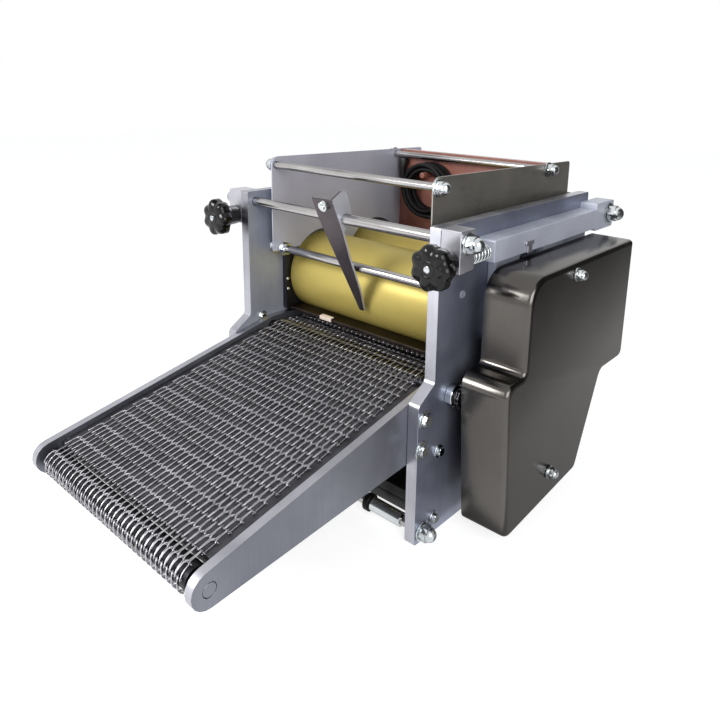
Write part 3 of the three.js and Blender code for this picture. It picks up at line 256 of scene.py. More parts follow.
# Each layer of the coil winds inwards or outwards in turn, and half a turn steps to the next layer
coil_turns = coil_layers * layer_turns
turn = np.linspace(0, coil_turns, int(coil_turns * 48) + 1)
phase = turn / layer_turns
into_layer = phase - np.floor(phase)
inwards = np.where(np.floor(phase) % 2 == 0, into_layer, 1 - into_layer)
coil_radius = coil_outer + (coil_inner - coil_outer) * inwards
layer = sum(np.clip((turn - k * layer_turns + 0.25) / 0.5, 0, 1) for k in range(1, coil_layers))
coil_angle = 2 * np.pi * turn - np.pi / 2
coil = np.stack([
    coil_x + coil_radius * np.cos(coil_angle),
    coil_back_y - layer * layer_step,
    coil_z + coil_radius * np.sin(coil_angle)], axis=1)
coil_start, coil_end = coil[0] - [cord_diameter, 0, 0], coil[-1] + [cord_diameter, 0, 0]
lead_route = smooth_route([
    [gland_x, gland_y, relief_tip - 0.3], [gland_x, gland_y, relief_tip - 8], [-126.6, 305.4, 354],
    [-124.2, 306.8, 345], [-119.4, 307.7, 336], [-112.5, 308, 328.6], [-103.5, 308, 323.4],
    [-94, 308, 320.9], coil_start - [9, 0, 0], coil_start], 4.0)
tail_route = smooth_route([
    coil_end, coil_end + [6, 0, 0], [-47, 286.6, 318.8], [-39, 289.4, 315.2], [-31, 293, 309.6],
    [-24, 296.4, 303.6], [plug_start - 8, plug_y, plug_z], [plug_start - 0.3, plug_y, plug_z]], 4.0)
cord_path = np.vstack([lead_route, coil, tail_route])
lead = make("mains_lead", [skin(sweep(cord_path, cord_diameter / 2, 14))], cord_rubber, "frame",
            "cord_rubber", "cord_lead", "cord_coil", "cord_tail", smooth=180)


def rounded(points, radius, steps=5):
    """A closed 2D outline with each corner drawn as an arc: tangent length r tan(turn / 2) on both
    sides, then steps points round the centre. radius is one number or one for each corner."""
    points = np.asarray(points, float)
    radius = np.broadcast_to(np.asarray(radius, float), (len(points),))
    out = []
    for i, corner in enumerate(points):
        into = corner - points[i - 1]
        away = points[(i + 1) % len(points)] - corner
        into, away = into / np.linalg.norm(into), away / np.linalg.norm(away)
        bend = math.atan2(into[0] * away[1] - into[1] * away[0], float(into @ away))
        start = corner - into * radius[i] * math.tan(abs(bend) / 2)
        centre = start + radius[i] * math.copysign(1, bend) * np.array([-into[1], into[0]])
        first = math.atan2(*(start - centre)[::-1])
        angles = first + bend * np.linspace(0, 1, steps + 1)
        out.append(centre + radius[i] * np.stack([np.cos(angles), np.sin(angles)], axis=1))
    return np.vstack(out)


# Hook and loop strap of woven nylon round the coil's right side: a flat band, dull and fuzzy black
strap_x, strap_half_width, strap_inside = coil_x + 37.95, 7, 0.9
strap_loop = rounded([[-10.6, 280.2], [10.6, 280.2], [10.6, 311.7], [-10.6, 311.7]], 4.6, 6)
strap_centre = strap_loop.mean(axis=0)
strap_rows = []
for edge, scale in ((-1, strap_inside), (-1, 1.0), (1, 1.0), (1, strap_inside)):
    ring = strap_centre + (strap_loop - strap_centre) * scale
    strap_rows.append(np.column_stack([ring + [strap_x, 0],
                                       np.full(len(ring), coil_z + edge * strap_half_width)]))
strap_weave = grained("woven_nylon_strap", 1.2, "#0b0b0c", "#202124", None, (0.6, 0.4), 2.0, roughness=0.75)
strap = make("cord_strap", [skin(np.transpose(strap_rows, (1, 0, 2)), closed=True)], strap_weave, "frame",
             "cord_rubber", smooth=50)


def turned(profile, centre, axis="x", sides=48, flats=None, facing=1, closed=False, lean=None):
    """Surface of revolution: centre plus (along, radius) pairs carried round an axis, with along
    times facing. Where flats is given, the radius is cut to a hexagon of that width across flats:
    flats / 2 / cos(angle from flat). lean is a matrix that tilts it about the centre."""
    along, radius = np.asarray(profile, float).T
    along = along * facing
    angle = np.linspace(0, 2 * np.pi, sides, endpoint=False)
    radii = np.repeat(radius[:, None], sides, axis=1)
    if flats is not None:
        from_flat = np.mod(angle, np.pi / 3) - np.pi / 6
        flats = np.broadcast_to(np.asarray(flats, float), (len(along),))
        radii = np.minimum(radii, flats[:, None] / 2 / np.cos(from_flat)[None, :])
    lengthwise = np.repeat(along[:, None], sides, axis=1)
    one, two = radii * np.cos(angle), radii * np.sin(angle)
    order = {"x": (lengthwise, one, two), "y": (two, lengthwise, one), "z": (one, two, lengthwise)}[axis]
    grid = np.stack(order, axis=-1)
    if lean is not None:
        grid = grid @ lean
    return skin(grid + np.asarray(centre, float), closed)


# Elbow gland and its tapered, ribbed strain relief: moulded nylon, a satin black with fine specks,
# screwed through the back sheet
gland_nylon = grained("moulded_black_nylon", 0.8, "#0f0f10", "#1a1a1c", (0.32, 0.46), (0.15, 0.1),
                      roughness=0.38)
rib_count, rib_pitch, rib_first, rib_last = 8, 2.9, 4.4, 6.8
relief = [[relief_tip, 4.3]]
for k in range(rib_count):
    z = relief_tip + 1.0 + k * rib_pitch
    r = rib_first + (rib_last - rib_first) * k / rib_count
    relief += [[z, r - 0.1], [z + 0.25, r + 0.4], [z + 1.7, r + 0.6], [z + 1.95, r + 0.1]]
relief += [[395.0, 6.8], [408.0, 6.8], [409.6, 6.2], [410.4, 4.0], [410.6, 0.4]]
gland_skins = [
    turned(relief, [gland_x, gland_y, 0], "z", 32),
    turned([[304.2, 6.0], [322.0, 6.0]], [gland_x, 0, gland_z], "y", 32),
    turned([[314.3, 7.6], [314.8, 8.2], [318.6, 8.2], [319.1, 7.6]], [gland_x, 0, gland_z], "y", 48, 14.0)]
make("elbow_gland", gland_skins, gland_nylon, "frame", "black_plastic", "cord_gland")


def loft(sections):
    """A skin through equal sections along X: at each x stands a ring of (y, z) points."""
    return skin(np.array([np.column_stack([np.full(len(ring), x), ring]) for x, ring in sections]))


def oval(y, z, half_y, half_z, power=2.6, count=32):
    """A rounded rectangle: half width times the signed cosine to the power 2 / power, and the same in z."""
    angle = np.linspace(0, 2 * np.pi, count, endpoint=False)
    c, s = np.cos(angle), np.sin(angle)
    return np.stack([y + half_y * np.sign(c) * np.abs(c) ** (2 / power),
                     z + half_z * np.sign(s) * np.abs(s) ** (2 / power)], axis=1)


# Plug: moulded body with finger grips and two flat blades, stamped from brass and a little scratched
# along their length
plug_shape = ((0, 4.6, 4.6, 2), (2, 5.0, 5.0, 2), (5, 5.6, 5.8, 2.1), (8, 6.8, 7.2, 2.3),
              (12, 9.0, 9.6, 2.6), (17, 10.6, 11.4, 3), (22, 11.2, 11.9, 3.2), (34, 11.4, 11.9, 3.4),
              (38.8, 11.3, 11.9, 3.4), (39.8, 10.6, 11.2, 3.2))
plug = make("plug_body", [loft([(plug_start + x, oval(plug_y, plug_z, wide, high, power))
                                for x, wide, high, power in plug_shape])],
            cord_rubber, "frame", "cord_rubber", "power_plug", smooth=60)
brass = grained("stamped_brass", (6.0, 1.0, 1.0), "#b58a45", "#d8b468", (0.22, 0.36), metallic=1.0,
                roughness=0.28)
blade_skins = [loft([(plug_start + x, oval(plug_y, plug_z + off, wide, 0.74, 8, 20))
                     for x, wide in ((39.5, 3.2), (55.5, 3.2), (57.4, 2.2))]) for off in (-6.35, 6.35)]
plug_blades = make("plug_blades", blade_skins, brass, "frame", "zinc_steel")

# Studio
# A white floor that keeps the machine's shadow, a white surround and two soft lamps. Two cards that
# only mirrored rays see give the bright metal's right and top faces something grey to reflect.
bpy.context.scene.view_settings.view_transform = "Standard"
white, card_black, floor_glow = (1, 1, 1, 1), (0.02, 0.02, 0.02, 1), 0.79


def studio_paper(name, colour):
    """Paper that mirrors nothing. Its glow is white, and each surface sets its own strength."""
    paper, tree, shader, place = new_finish(f"{name}_paper", roughness=0.9, specular=0.0)
    shader.inputs["Base Color"].default_value = colour
    shader.inputs["Emission Color"].default_value = white
    return paper, tree, shader, place


def stand(name, corners, faces, paper):
    """A flat surface of the studio, which isn't part of the machine."""
    mesh = bpy.data.meshes.new(name)
    mesh.from_pydata(corners, [], faces)
    mesh.materials.append(paper)
    surface = bpy.data.objects.new(name, mesh)
    bpy.context.scene.collection.objects.link(surface)


def seen_directly(tree, *kinds):
    """1 for rays of the given kinds, as the greatest of their flags."""
    rays = add_node(tree, "LightPath").outputs
    seen = rays[kinds[0]]
    for kind in kinds[1:]:
        seen = add_node(tree, "Math", {0: seen, 1: rays[kind]}, operation="MAXIMUM").outputs[0]
    return seen


floor_paper, tree, shader, _ = studio_paper("studio_floor", linear("#b3b3b3"))
seen = seen_directly(tree, "Is Camera Ray", "Is Glossy Ray")
glow = add_node(tree, "Math", {0: seen, 1: floor_glow}, operation="MULTIPLY")
tree.links.new(glow.outputs[0], shader.inputs["Emission Strength"])
stand("studio_floor", [(-6, -6, -0.0004), (6, -6, -0.0004), (6, 6, -0.0004), (-6, 6, -0.0004)],
      [(0, 1, 2, 3)], floor_paper)


def mirror_card(name, corners, faces, centre, near_glow, far_glow):
    """A card that only mirrored rays see. Its glow changes from near_glow to far_glow over 0.3 m
    from the line through centre along Y."""
    paper, tree, shader, place = studio_paper(name, card_black)
    across = add_node(tree, "VectorMath", {0: place, 1: (1, 0, 1)}, operation="MULTIPLY")
    away = add_node(tree, "VectorMath", {0: across.outputs[0], 1: centre}, operation="DISTANCE")
    glow = add_node(tree, "MapRange", {
        "Value": away.outputs["Value"], "From Min": 0.0, "From Max": 0.3,
        "To Min": near_glow, "To Max": far_glow})
    tree.links.new(glow.outputs["Result"], shader.inputs["Emission Strength"])
    mirrored = seen_directly(tree, "Is Glossy Ray")
    clear = add_node(tree, "BsdfTransparent")
    shown = add_node(tree, "MixShader", {0: mirrored, 1: clear.outputs[0], 2: shader.outputs[0]})
    tree.links.new(shown.outputs[0], tree.nodes["Material Output"].inputs["Surface"])
    stand(name, corners, faces, paper)


mirror_card("studio_side_card",
            [(0.16, -0.06, 0.001), (0.40, 0.0, 0.001), (0.35, 1.5, 0.001), (0.16, 1.5, 0.001),
             (0.40, 0.0, 0.9), (0.35, 1.5, 0.9)],
            [(0, 1, 2, 3), (1, 4, 5, 2)], (0.37, 0, 0.0), 0.6, 0.06)
mirror_card("studio_top_card",
            [(-0.22, -0.42, 0.62), (-0.22, 0.22, 0.62), (-0.62, 0.22, 0.98), (-0.62, -0.42, 0.98)],
            [(0, 1, 2, 3)], (-0.42, 0, 0.8), 0.1, 0.3)

world = bpy.data.worlds.new("studio_surround")
bpy.context.scene.world = world
world.use_nodes = True
tree = world.node_tree
tree.nodes.clear()
seen = seen_directly(tree, "Is Camera Ray", "Is Glossy Ray", "Is Transmission Ray")
surround = add_node(tree, "Background", {"Color": white, "Strength": 1.0})
ambient = add_node(tree, "Background", {"Color": (0.96, 0.98, 1, 1), "Strength": 0.45})
mixed = add_node(tree, "MixShader", {0: seen, 1: ambient.outputs[0], 2: surround.outputs[0]})
add_node(tree, "OutputWorld", {"Surface": mixed.outputs[0]})

lamps_aim = Vector((0, 0, 0.2))
for name, stands_at, size, power in (("key_lamp", (-0.75, -1.8, 1.25), 0.8, 36.0),
                                     ("fill_lamp", (1.6, -0.9, 1.0), 1.2, 20.0)):
    lamp_data = bpy.data.lights.new(name, "AREA")
    lamp_data.size = size
    lamp_data.energy = power
    lamp = bpy.data.objects.new(name, lamp_data)
    bpy.context.scene.collection.objects.link(lamp)
    lamp.location = stands_at
    lamp.rotation_euler = (lamps_aim - lamp.location).to_track_quat("-Z", "Y").to_euler()

# Side plates
# 15 mm rolled aluminium plate: the faces keep a dull, faintly drawn mill skin, and the sawn outline
# is milled bright, with its edges broken by 1 mm.


def drawn_metal(name, dark, light, along, roughness, streak=0.7, blotch=70.0, depth=0.01, metallic=1.0):
    """Metal with faint draw lines along one axis over slow blotches, in colour and in gloss, and a
    very low relief. The lines are drawn a little coarser than real ones, so that they show. A value
    of metallic below 1 is a dull oxide skin over it."""
    finish, tree, shader, place = new_finish(name, metallic=metallic, roughness=roughness)
    size = [streak, streak, streak]
    size["XYZ".index(along)] = streak * 90
    lines = grain(tree, place, size)
    slow = grain(tree, place, blotch, 3.0, 0.3)
    both = add_node(tree, "Math", {0: lines, 1: 0.35, 2: slow}, operation="MULTIPLY_ADD")
    lay_pattern(tree, shader, both.outputs[0], dark, light, (roughness - 0.04, roughness + 0.06),
                (0.25, depth), (0.5, 0.85), lines)
    return finish


def machined(node, name, body, slot, finish, width=0.8, segments=2, milled=None):
    """A merged copy of a CAD node with its flat faces joined and its edges broken by a small bevel.
    Faces that don't look along X take the milled finish, where one is given."""
    sharp = math.radians(32)
    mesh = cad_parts[node].data.copy()
    mesh.name = name
    work = bmesh.new()
    work.from_mesh(mesh)
    bmesh.ops.remove_doubles(work, verts=work.verts, dist=2e-6)
    bmesh.ops.dissolve_limit(work, angle_limit=math.radians(0.6), verts=work.verts, edges=work.edges)
    work.to_mesh(mesh)
    work.free()
    mesh.materials.clear()
    mesh.materials.append(finish)
    if milled:
        mesh.materials.append(milled)
        for face in mesh.polygons:
            face.material_index = int(abs(face.normal.x) < 0.7)
    mesh.shade_smooth()
    mesh.set_sharp_from_angle(angle=sharp)
    piece = bpy.data.objects.new(name, mesh)
    bpy.context.scene.collection.objects.link(piece)
    if width:
        bevel = piece.modifiers.new("broken_edges", "BEVEL")
        bevel.width = width / 1000
        bevel.segments = segments
        bevel.limit_method = "ANGLE"
        bevel.angle_limit = sharp
        bevel.harden_normals = True
    return fit(piece, body, slot, node)


# Mill skin of the left plate: a pale oxide, soft and a little blue
plate_skin = drawn_metal("rolled_plate_skin", "#969baa", "#abb0bd", "Z", 0.38, metallic=0.3)
# Milled edges: cleaner metal, which mirrors the room softly
milled_edge = drawn_metal("milled_plate_edge", "#a5a6ae", "#bdbdc5", "Z", 0.34)
# The right plate's skin painted darker, with more metal and gloss: a painted shade and reflection on its
# outer face
shaded_plate_skin = drawn_metal("plate_skin_painted_shade", "#868b9e", "#9da2b3", "Z", 0.32, metallic=0.7)
for label, face_finish in (("left", plate_skin), ("right", shaded_plate_skin)):
    machined(f"side_plate_{label}", f"plate_{label}", "frame", "brushed_aluminium", face_finish, 1.0,
             milled=milled_edge)

# Adjuster blocks and bearing arms
# Sawn and milled aluminium bar: the fixed rear arms and front blocks are bolted to the plates, and
# the front arms slide between them. The bars keep a pale oxide, and the blocks are nearly bare metal.
bar_skin = drawn_metal("milled_aluminium_bar", "#b6bac9", "#cbcfdc", "Y", 0.32, metallic=0.2)
block_skin = drawn_metal("milled_aluminium_block", "#c0c0c8", "#d2d2d9", "Z", 0.34, metallic=0.8)
for label in ("left", "right"):
    machined(f"adjuster_block_{label}", f"block_{label}", "frame", "brushed_aluminium", block_skin)
    machined(f"rear_arm_{label}", f"fixed_arm_{label}", "frame", "brushed_aluminium", bar_skin)
    machined(f"front_arm_{label}", f"sliding_arm_{label}", "carriage", "brushed_aluminium", bar_skin)

# Bearing blocks
# Black acetal slabs bored for the roller shafts, screwed to the plates' inner faces. The cutter
# leaves fine upright marks and a satin gloss.
acetal = grained("machined_black_acetal", (1.5, 1.5, 20.0), "#0e0e10", "#1c1c1f", (0.32, 0.5), (0.2, 0.08),
                 roughness=0.4)
for label in ("left", "right"):
    machined(f"front_bearing_{label}", f"sliding_bearing_{label}", "carriage", "black_plastic", acetal, 0.6)
    machined(f"rear_bearing_{label}", f"fixed_bearing_{label}", "frame", "black_plastic", acetal, 0.6)

# Tie rods
# Ground steel bars, zinc plated, each drawn up by a washer and a domed cap nut at both ends.


def plated(name, dark, light, roughness, rim):
    """Bright plating over turned steel: slow smears change its gloss, and a layer weight blends in the rim
    colour where it curves away, a painted shade standing in for dark surroundings mirrored at its rims."""
    finish, tree, shader, place = new_finish(name, metallic=1.0, roughness=roughness)
    smear = grain(tree, place, (90.0, 20.0, 20.0), 2.0, 0.4)
    colour = lay_pattern(tree, shader, smear, dark, light, (roughness - 0.03, roughness + 0.06))
    # Painted shade: the rim colour darkens the base colour where the surface turns edge-on
    rim_shade_mask = add_node(tree, "LayerWeight", {"Blend": 0.35}).outputs["Facing"]
    away = add_node(tree, "MapRange", {
        "Value": rim_shade_mask, "From Min": 0.33, "From Max": 0.8}).outputs["Result"]
    shade = add_node(tree, "Mix", {"Factor": away, 6: colour, 7: linear(rim)}, data_type="RGBA")
    tree.links.new(shade.outputs[2], shader.inputs["Base Color"])
    return finish


# Zinc plating on nuts, screws and springs: bright, bluish and nearly a mirror, with a painted blue-grey shade
# at its rims
zinc = plated("bright_zinc_plating", "#b9bfc2", "#e3e7e8", 0.14, "#5b6064")
# Ground bar: warmer and darker, with a long soft highlight and a near-black painted shade at its rims
ground_bar = plated("ground_steel_bar", "#a5a2a2", "#bfbdbc", 0.18, "#343336")


def cap_nut(x, y, z, rod, facing):
    """A washer, a chamfered hexagon and a dome: the dome is a quarter circle on a short neck. Its
    sizes are shares of the rod's diameter."""
    across, height, dome = rod * 1.6, rod * 0.75, rod * 0.72
    corner = across / 2 / math.cos(math.pi / 6)
    washer = [[0, rod * 1.02], [0.3, rod * 1.05], [1.7, rod * 1.05], [2.0, rod * 1.02]]
    nut = [[2.0, across / 2 * 0.98], [2.9, corner * 0.985], [2.0 + height * 0.8, corner],
           [2.0 + height, across / 2]]
    cap = [[2.0 + height - 0.3, dome], [2.0 + height + 0.8, dome]]
    cap += [[2.8 + height + (dome - 0.8) * math.sin(t), dome * math.cos(t)]
            for t in np.linspace(0.12, 1.5, 9)]
    return [turned(profile, [x, y, z], "x", 48, flats, facing)
            for profile, flats in ((washer, None), (nut, across), (cap, None))]


def both_sides(profile, centre, sides=40, flats=None, closed=False):
    """The same turned part on the left and on the right of the machine, as mirror images."""
    return [turned(profile, centre, "x", sides, flats, facing, closed) for facing in (-1, 1)]


arm_outer, hopper_outer = 201.3, 142
divider_rod_y, divider_rod_z, base_rod_y, base_rod_z = 14, 365, -15, 14
for name, outer_face, y, z, diameter, node in (
        ("divider_rod", arm_outer, divider_rod_y, divider_rod_z, 12, "blade_rod"),
        ("front_base_rod", plate_outer, base_rod_y, base_rod_z, 12, "base_rod_front"),
        ("rear_base_rod", plate_outer, 352, base_rod_z, 12, "base_rod_rear"),
        ("rear_top_rod", arm_outer, 388, 350, 14, "rear_tie_rod"),
        ("front_hopper_rod", hopper_outer, 36, 417, 10, "hopper_rod_front"),
        ("rear_hopper_rod", hopper_outer, 300, 416, 10, "hopper_rod_rear")):
    reach, seat = outer_face + 2.5, outer_face + 0.3
    bar = turned([[-reach, diameter / 2], [reach, diameter / 2]], [0, y, z], "x", 40)
    make(f"{name}_bar", [bar], ground_bar, "frame", "zinc_steel", node)
    nuts = cap_nut(seat, y, z, diameter, 1) + cap_nut(-seat, y, z, diameter, -1)
    make(f"{name}_nuts", nuts, zinc, "frame", "zinc_steel", node)

# Spacer tube on the divider's rod, from the blade to the right plate
spacer = turned([[18.0, 6.3], [17.4, 6.9], [17.6, 7.1], [159.2, 7.1], [159.4, 6.9], [159.4, 6.3]],
                [0, divider_rod_y, divider_rod_z], "x", 40)
make("divider_rod_spacer", [spacer], ground_bar, "frame", "zinc_steel")

# Finger guard bar in front of the rollers: turned down at its ends, with a washer and a nut against
# each plate and each end of the thick part, and a plug in each plate's outer face
guard_bar_axis = [0, 48, 294]
guard_bar = turned([[-173, 5.0], [-138, 5.0], [-136, 5.9], [136, 5.9], [138, 5.0], [173, 5.0]],
                   guard_bar_axis, "x", 40)
make("finger_guard_bar", [guard_bar], ground_bar, "frame", "zinc_steel", "guard_rod")
guard_nuts = []
for profile, flats in (
        ([[159.7, 10.2], [159.4, 10.5], [158.0, 10.5], [157.7, 10.2]], None),
        ([[157.7, 8.1], [157.0, 8.9], [153.6, 9.0], [152.7, 8.0]], 15.8),
        ([[139.7, 10.0], [139.4, 10.4], [138.2, 10.4], [137.9, 10.0]], None),
        ([[137.9, 8.1], [137.2, 8.9], [131.6, 9.0], [130.6, 8.0]], 15.8)):
    guard_nuts += both_sides(profile, guard_bar_axis, 48, flats)
make("finger_guard_nuts", guard_nuts, zinc, "frame", "zinc_steel", "guard_rod")
plugs = both_sides([[173.4, 0.3], [173.4, 4.9], [174.5, 5.1], [174.8, 4.8], [174.8, 0.3]], guard_bar_axis)
make("finger_guard_plugs", plugs, plate_skin, "frame", "brushed_aluminium")

# Adjusters
# A plated screw through each front block, a spring that takes up its slack, and a seven-lobed star
# knob moulded in glossy black phenolic on a steel insert. The gloss shows the mould's slow flow.
knob_plastic = grained("moulded_black_phenolic", 7.0, "#050506", "#0b0b0c", (0.1, 0.22), (0.05, 0.2),
                       roughness=0.16, specular=0.32)
adjuster_x, adjuster_z = 188.3, 344


def star(depths, insets, x, lobes=7, count=168):
    """Rings of a star: radius 24.9 + 1.1 (wave - 0.15 (1 - wave) squared), where wave is cos(7 angle),
    less the ring's own inset, which grows by a quarter of (1 - wave)."""
    angle = np.linspace(0, 2 * np.pi, count, endpoint=False)
    wave = np.cos(lobes * angle)
    shape = 24.9 + 1.1 * (wave - 0.15 * (1 - wave) ** 2)
    radius = shape - np.asarray(insets)[:, None] * (1 + 0.25 * (1 - wave))
    y = np.repeat(np.asarray(depths)[:, None], count, axis=1)
    return np.stack([x + radius * np.cos(angle), y, adjuster_z + radius * np.sin(angle)], axis=-1)


quarter = np.linspace(0, np.pi / 2, 6)
star_depths = [*(-20.0 - 5.5 * np.sin(quarter)), -33.5, *(-34.0 - 7.0 * np.sin(quarter))]
star_insets = [*(7.0 * (1 - np.sin(quarter))), 0.0, *(8.5 * (1 - np.cos(quarter)))]
thread_start, thread_end, thread_step = 26.5, 109.0, 0.58
thread = [[-33.7, 6.0], [26.0, 6.0]]
thread += [[y, 5.95 if i % 3 else 5.35]
           for i, y in enumerate(np.arange(thread_start, thread_end, thread_step))]
thread += [[109.4, 5.4], [110.0, 4.9]]
spring_front, spring_back, spring_radius, wire, spring_turns = 28.3, 69.7, 9.0, 1.25, 7.5
wound = np.linspace(0, 1, 217)
flat_ends = np.clip((wound - 0.1) / 0.8, 0, 1)
climb = spring_front + 1.35 + (spring_back - spring_front - 2.7) * (0.09 * wound + 0.91 * flat_ends)
for label, facing in (("left", -1), ("right", 1)):
    x = adjuster_x * facing
    axis = [x, 0, adjuster_z]
    hub = turned([[-23, 16.5], [-19.5, 16], [-16.5, 14.6], [-14, 13.8], [-1.6, 13.2], [-0.6, 12.7],
                  [-0.3, 11.8]], axis, "y")
    boss = turned([[-41.2, 9.4], [-41.4, 9.2], [-41.5, 8.2], [-41.3, 7.4], [-40.6, 7.0]], axis, "y")
    make(f"knob_{label}", [skin(star(star_depths, star_insets, x)), hub, boss], knob_plastic,
         f"knob_{label}", "knob_plastic", f"star_knob_{label}", smooth=60)
    insert = turned([[-42.0, 0.3], [-42.1, 3.2], [-41.8, 3.8], [-41.2, 3.9]], axis, "y", 32)
    make(f"knob_insert_{label}", [insert], zinc, f"knob_{label}", "zinc_steel")
    make(f"screw_{label}", [turned(thread, axis, "y", 28)], zinc, f"knob_{label}", "zinc_steel",
         f"adjuster_screw_{label}", smooth=60)
    spin = 2 * np.pi * spring_turns * wound * facing
    coils = np.stack([x + spring_radius * np.cos(spin), climb,
                      adjuster_z + spring_radius * np.sin(spin)], axis=1)
    spring = make(f"spring_{label}", [skin(sweep(coils, wire, 10))], zinc, "carriage", "zinc_steel",
                  f"adjuster_spring_{label}", smooth=180)
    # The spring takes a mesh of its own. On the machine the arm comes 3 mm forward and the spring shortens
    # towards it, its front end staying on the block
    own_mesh(spring)

# Rollers
# Steel drums on through shafts, each with a smooth yellow cover turned to 119 mm. The cover is a
# satin metallic yellow with hardly visible turning rings and the smears of handling.
cover, tree, shader, place = new_finish("turned_yellow_cover", metallic=0.35, roughness=0.42)
turning = grain(tree, place, (2.0, 90.0, 90.0), 1.0)
handling = grain(tree, place, (90.0, 60.0, 60.0), 2.0, 0.2)
both = add_node(tree, "Math", {0: turning, 1: 0.12, 2: handling}, operation="MULTIPLY_ADD")
lay_pattern(tree, shader, both.outputs[0], "#bfab59", "#cbb965", (0.39, 0.46), span=(0.3, 0.8))
cover_end, roller_z, front_roller_y, rear_roller_y = 149.2, 247, 127, 247
cover_profile = [[-cover_end, 15.3], [-cover_end, 57.6], [-cover_end + 0.5, 58.9], [-cover_end + 1.6, 59.5],
                 [cover_end - 1.6, 59.5], [cover_end - 0.5, 58.9], [cover_end, 57.6], [cover_end, 15.3]]
for label, y, body, reach in (("front", front_roller_y, "front_roller", 218),
                              ("rear", rear_roller_y, "rear_roller", 230)):
    drum = turned(cover_profile, [0, y, roller_z], "x", 144, closed=True)
    make(f"{label}_roller_cover", [drum], cover, body, "yellow_cover", f"{label}_drum")
    shaft = turned([[-191, 6], [-191, 13], [-189, 15], [reach - 2, 15], [reach, 13], [reach, 6]],
                   [0, y, roller_z], "x", 64)
    make(f"{label}_roller_shaft", [shaft], ground_bar, body, "zinc_steel", f"{label}_shaft")

# Gears and sprockets
# Hobbed steel gears on the right ends of the shafts and flame cut sprockets, dark and uneven with
# grease.
gear_steel = grained("oiled_gear_steel", 9.0, "#2c2c2e", "#666668", (0.25, 0.5), (0.25, 0.1), 4.0, 0.5,
                     metallic=1.0, roughness=0.38)
for node, body in (("front_gear", "front_roller"), ("rear_gear", "rear_roller"),
                   ("rear_sprocket", "rear_roller"), ("motor_output", "motor_shaft")):
    machined(node, f"{node}_cut", body, "gear_steel", gear_steel, 0.35, 1)

# Chain guard
# 2 mm stainless sheet folded and welded into a box, its outer edge rounded to 7 mm, and polished to a
# slightly streaked mirror whose colour is painted a dark grey, a painted reflection of dark surroundings; two
# studs with cap nuts hold it.
guard_steel = drawn_metal("polished_stainless_guard", "#565350", "#64615e", "Z", 0.21, 0.6, 140.0, 0.004)
guard_corners = [[31, 15], [213, 29], [270, 153], [342, 153], [344, 326], [55, 326], [55, 214], [15.5, 213]]
guard_radii = np.array([14, 12, 14, 12, 6, 34, 8, 17], float)
guard_open, guard_fold, guard_sheet, fold_outer = 200.0, 253.0, 2.0, 7.0


def inset_outline(corners, radii, inset, steps=10):
    """The outline moved inwards: each corner by inset / (1 + cos turn) along both normals, with
    outer bends tightened and inner bends widened by the same inset."""
    corners = np.asarray(corners, float)
    into = corners - np.roll(corners, 1, axis=0)
    into /= np.linalg.norm(into, axis=1)[:, None]
    away = np.roll(into, -1, axis=0)
    cosine = np.sum(into * away, axis=1)
    turning_way = np.sign(into[:, 0] * away[:, 1] - into[:, 1] * away[:, 0])
    normal = np.stack([-(into + away)[:, 1], (into + away)[:, 0]], axis=1)
    moved = corners + normal * (inset / (1 + cosine))[:, None]
    return rounded(moved, np.maximum(radii - turning_way * inset, 0.4), steps)


# Rings of the box from the inner fold back to the open rim and out over the outer fold
fold = np.linspace(math.pi / 2, 0.15, 7)
fold_inner = fold_outer - guard_sheet
rim = [(guard_fold + fold_inner * math.sin(t), guard_sheet + fold_inner * (1 - math.cos(t))) for t in fold]
rim += [(guard_open, guard_sheet), (guard_open, 0.0)]
rim += [(guard_fold + fold_outer * math.sin(t), fold_outer * (1 - math.cos(t))) for t in fold[::-1]]
make("polished_guard", [loft([(x, inset_outline(guard_corners, guard_radii, inset)) for x, inset in rim])],
     guard_steel, "frame", "polished_stainless", "chain_guard", smooth=40)
for label, y, z in (("upper", 164, 312), ("lower", 131, 62)):
    stud = [turned([[165, 4], [264, 4]], [0, y, z], "x", 28),
            turned([[175.3, 7.2], [176, 7.9], [181.4, 7.9], [182, 7.2]], [0, y, z], "x", 48, 13.0),
            turned([[254.7, 7.2], [255, 7.5], [257.4, 7.5], [257.7, 7.2]], [0, y, z], "x", 36)]
    make(f"guard_stud_and_nut_{label}", stud + cap_nut(260.3, y, z, 8, 1), zinc, "frame", "zinc_steel",
         f"guard_stud_{label}")

# Hopper
# Two scalloped side sheets of 2 mm stainless held by the hopper rods: the left one satin and pale, the right
# one glossier and painted a darker, warmer grey, a painted shade and reflection. The back panel is painted a
# glossy red-brown, a painted reflection of a warm room, uneven over a slow grain.
hopper_satin = drawn_metal("satin_stainless_hopper", "#b4b6c6", "#c4c6d5", "Y", 0.42, 0.7, 110.0, 0.01, 0.2)
# Painted shade and reflection: the right sheet's darker, warmer grey
hopper_shaded_sheet = drawn_metal("stainless_hopper_painted_shade", "#98938b", "#b0aba2", "Y", 0.28, 0.7, 90.0, 0.005,
                              0.8)
# Painted reflection: the back panel's red-brown stands in for a warm room mirrored in the steel
back_painted_reflection = grained("red_brown_painted_reflection", (40.0, 40.0, 70.0), "#7d4c42", "#9c685c", (0.24, 0.42),
                    distortion=0.5, roughness=0.3, coat=0.3)
for node, name, finish in (("hopper_side_left", "hopper_sheet_left", hopper_satin),
                           ("hopper_side_right", "hopper_sheet_right", hopper_shaded_sheet),
                           ("hopper_back", "hopper_back_panel", back_painted_reflection)):
    machined(node, name, "frame", "stainless_sheet", finish, 0.3, 1)
